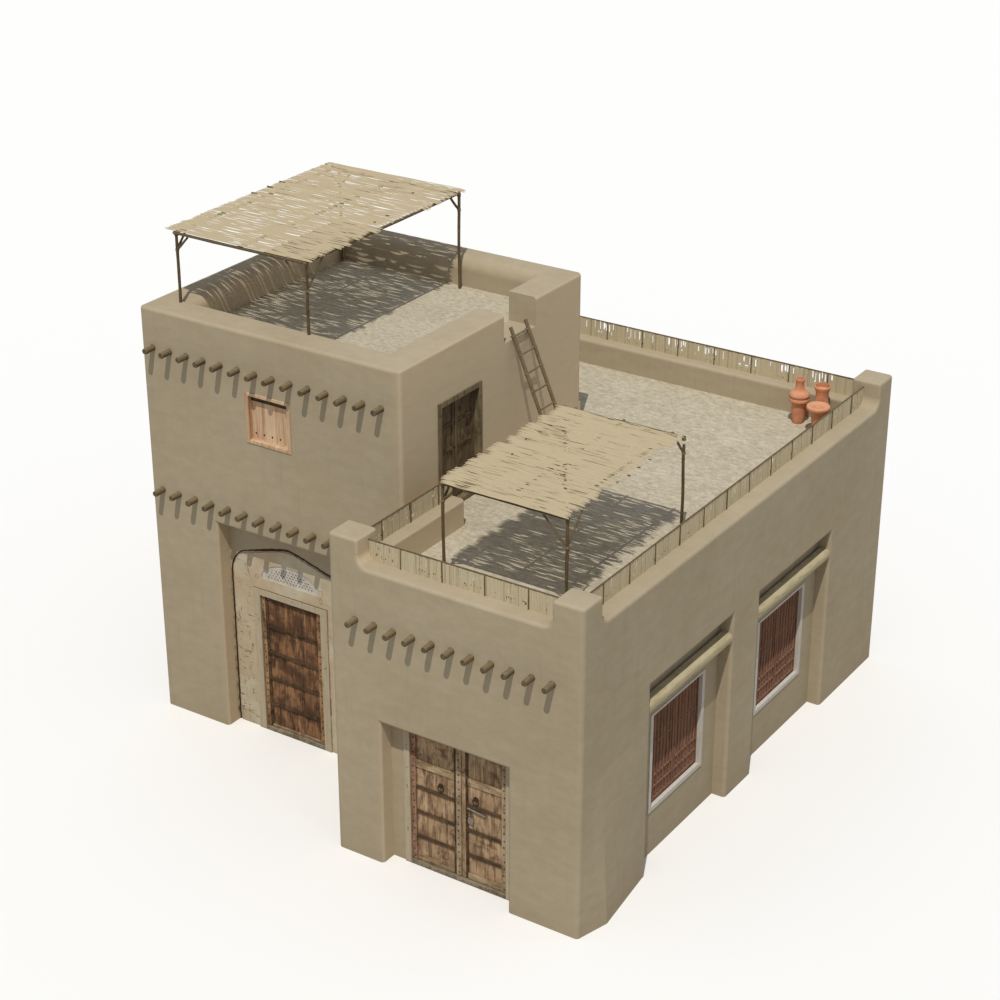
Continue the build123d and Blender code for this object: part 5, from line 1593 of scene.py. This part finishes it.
class HOUSE_OT_ladder(bpy.types.Operator):
    """Make the ladder of crooked poles with lashed rungs"""

    bl_idname = "house.ladder"
    bl_label = "Ladder"

    def execute(self, context):
        """Build the ladder along its CAD solid."""
        sizes = context.scene.house_logs
        ladder = Shape("ladder_poles")
        chance = ladder.chance
        low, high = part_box("ladder")
        foot_x, top_x = high.x, low.x
        way = Vector((top_x - foot_x + 0.07, 0, high.z - low.z)).normalized()
        start = Vector((foot_x - 0.034, 0, low.z))
        span = (high.z - low.z + 0.04) / way.z
        half = (high.y - low.y) / 2 - 0.04
        middle = (low.y + high.y) / 2
        for side in (-1, 1):
            base = start + Vector((0, middle + side * half, 0))
            path = crooked(chance, base, base + way * span, 0.01, 10)
            ladder.tube(path, [0.034 * chance.uniform(0.9, 1.0) for _ in path])
        place_on = 0.33
        while place_on < span - 0.05:
            spot = start + way * place_on + Vector((0, middle, 0))
            slant = chance.uniform(-0.012, 0.012)
            ends = [spot + Vector((0, side * (half + 0.036), side * slant)) for side in (-1, 1)]
            path = crooked(chance, ends[0], ends[1], 0.004, 4)
            ladder.tube(path, [0.017] * len(path), sides=8)
            for side in (-1, 1):
                around = spot + Vector((0, side * half, side * slant))
                ladder.coil(around, way, 0.034, 3, 0.011, sizes.rope * 0.9, slot=1)
            place_on += 0.33
        ladder.build(["ladder_wood", "rope"], nodes=["ladder"], slot="dark_poles")
        return {"FINISHED"}


class HOUSE_OT_jars(bpy.types.Operator):
    """Turn the clay jars"""

    bl_idname = "house.jars"
    bl_label = "Jars"

    def execute(self, context):
        """Turn each jar in the place of its CAD solid."""
        jars = Shape("thrown_jars")
        tall = [
            (0.103, 0.0), (0.128, 0.2), (0.132, 0.398), (0.186, 0.427), (0.1895, 0.447), (0.186, 0.467),
            (0.165, 0.489), (0.183, 0.513), (0.1855, 0.534), (0.180, 0.556), (0.15, 0.586), (0.110, 0.618),
            (0.087, 0.642), (0.077, 0.70), (0.074, 0.75), (0.077, 0.785), (0.089, 0.812), (0.087, 0.834),
            (0.082, 0.846),
        ]
        flared = [
            (0.093, 0.0), (0.128, 0.09), (0.151, 0.18), (0.157, 0.26), (0.154, 0.335), (0.140, 0.40),
            (0.120, 0.47), (0.114, 0.55), (0.115, 0.64), (0.130, 0.69), (0.149, 0.737), (0.147, 0.755),
            (0.139, 0.764),
        ]
        squat = [
            (0.093, 0.0), (0.104, 0.12), (0.108, 0.22), (0.124, 0.348), (0.165, 0.405), (0.206, 0.465),
            (0.2135, 0.487), (0.212, 0.510), (0.195, 0.529),
        ]
        for centre, outline, mouth in (
            ((3.540, 4.400), tall, (0.058, 0.06)),
            ((3.940, 4.485), flared, (0.118, 0.07)),
            ((4.040, 4.140), squat, (0.060, 0.03)),
        ):
            rim, height = outline[-1]
            throat, depth = mouth
            wall = [(rim - 0.010, height + 0.001), (throat + 0.012, height - 0.012), (throat, height - depth)]
            jars.lathe((*centre, ROOF_LEVEL), outline + wall, 56)
        jars.build(["fired_clay"], nodes=["water_jars"], slot="terracotta", smooth=50.0)
        return {"FINISHED"}


class HOUSE_OT_stage(bpy.types.Operator):
    """Set the floor, the light and the camera"""

    bl_idname = "house.stage"
    bl_label = "Stage"

    def execute(self, context):
        """Build the stage."""
        scene = context.scene
        settings = scene.house_stage
        scene.view_settings.view_transform = "Standard"
        self.floor()
        self.sky(scene, settings)
        sun = bpy.data.lights.new("sun", "SUN")
        sun.energy = settings.sun_strength
        sun.angle = math.radians(0.3)
        sun.color = (1.0, 0.955, 0.87)
        lamp = bpy.data.objects.new("sun", sun)
        lamp.rotation_mode = "QUATERNION"
        lamp.rotation_quaternion = Vector((-0.45, 1.0, -2.15)).to_track_quat("-Z", "Y")
        scene.collection.objects.link(lamp)
        view = bpy.data.cameras.new("camera")
        view.lens = settings.lens
        view.sensor_width = 36
        view.clip_end = 300
        camera = bpy.data.objects.new("camera", view)
        camera.location = (19.013, -28.742, 20.546)
        camera.rotation_euler = (math.radians(90 - 25.59), 0, math.radians(33.42))
        scene.collection.objects.link(camera)
        scene.camera = camera
        return {"FINISHED"}

    def floor(self):
        """A pale plain floor that is white to the camera and keeps its shadow."""
        size = 150
        mesh = bpy.data.meshes.new("floor")
        corners = [(-size, -size, -0.002), (size, -size, -0.002), (size, size, -0.002), (-size, size, -0.002)]
        mesh.from_pydata(corners, [], [(0, 1, 2, 3)])
        ground = bpy.data.objects.new("floor", mesh)
        bpy.context.scene.collection.objects.link(ground)
        pale = bpy.data.materials.new("floor")
        pale.use_nodes = True
        tree = pale.node_tree
        shader = tree.nodes["Principled BSDF"]
        seen = node(tree, "LightPath").outputs["Is Camera Ray"]
        color = blend(tree, seen, (0.46, 0.43, 0.37, 1), (0.93, 0.93, 0.93, 1))
        plug(tree, color, shader.inputs["Base Color"])
        shader.inputs["Roughness"].default_value = 1.0
        shader.inputs["Specular IOR Level"].default_value = 0.0
        mesh.materials.append(pale)

    def sky(self, scene, settings):
        """A plain sky that gives soft fill light and is white to the camera."""
        world = bpy.data.worlds.new("sky")
        world.use_nodes = True
        scene.world = world
        tree = world.node_tree
        background = tree.nodes["Background"]
        rays = node(tree, "LightPath").outputs
        seen = rays["Is Camera Ray"]
        fill = (0.93, 1.0, 1.12, 1)
        plug(tree, blend(tree, seen, fill, (1, 1, 1, 1)), background.inputs["Color"])
        plug(tree, stretch(tree, seen, 0.0, 1.0, settings.sky_strength, 1.0), background.inputs["Strength"])


class HOUSE_PT_panel(bpy.types.Panel):
    """The settings and steps of the house"""

    bl_idname = "HOUSE_PT_panel"
    bl_label = "Adobe house"
    bl_space_type = "VIEW_3D"
    bl_region_type = "UI"
    bl_category = "House"

    def draw(self, context):
        """Show every setting above the steps."""
        for name in SETTINGS:
            box = self.layout.box()
            group = getattr(context.scene, name)
            box.label(text=SETTINGS[name].__doc__)
            for key in group.bl_rna.properties.keys():
                if key not in ("name", "rna_type"):
                    box.prop(group, key)
        for step in STEPS:
            self.layout.operator(step.bl_idname)


SETTINGS = {
    "house_logs": LogSettings,
    "house_mats": MatSettings,
    "house_fences": FenceSettings,
    "house_doors": DoorSettings,
    "house_windows": WindowSettings,
    "house_stage": StageSettings,
}
STEPS = [
    HOUSE_OT_masonry,
    HOUSE_OT_beams,
    HOUSE_OT_canopies,
    HOUSE_OT_mats,
    HOUSE_OT_fences,
    HOUSE_OT_street_doors,
    HOUSE_OT_windows,
    HOUSE_OT_terrace_door,
    HOUSE_OT_ladder,
    HOUSE_OT_jars,
    HOUSE_OT_stage,
]


def register():
    """Register the classes and their settings."""
    for name, group in SETTINGS.items():
        bpy.utils.register_class(group)
        setattr(bpy.types.Scene, name, bpy.props.PointerProperty(type=group))
    for step in STEPS:
        bpy.utils.register_class(step)
    bpy.utils.register_class(HOUSE_PT_panel)


def unregister():
    """Take the classes and their settings away."""
    bpy.utils.unregister_class(HOUSE_PT_panel)
    for step in reversed(STEPS):
        bpy.utils.unregister_class(step)
    for name, group in reversed(SETTINGS.items()):
        delattr(bpy.types.Scene, name)
        bpy.utils.unregister_class(group)


def main():
    """Dress the house step by step."""
    register()
    build_materials()
    bpy.ops.house.masonry()
    bpy.ops.house.beams()
    bpy.ops.house.canopies()
    bpy.ops.house.mats()
    bpy.ops.house.fences()
    bpy.ops.house.street_doors()
    bpy.ops.house.windows()
    bpy.ops.house.terrace_door()
    bpy.ops.house.ladder()
    bpy.ops.house.jars()
    bpy.ops.house.stage()
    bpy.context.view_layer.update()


if __name__ == "__main__":
    main()
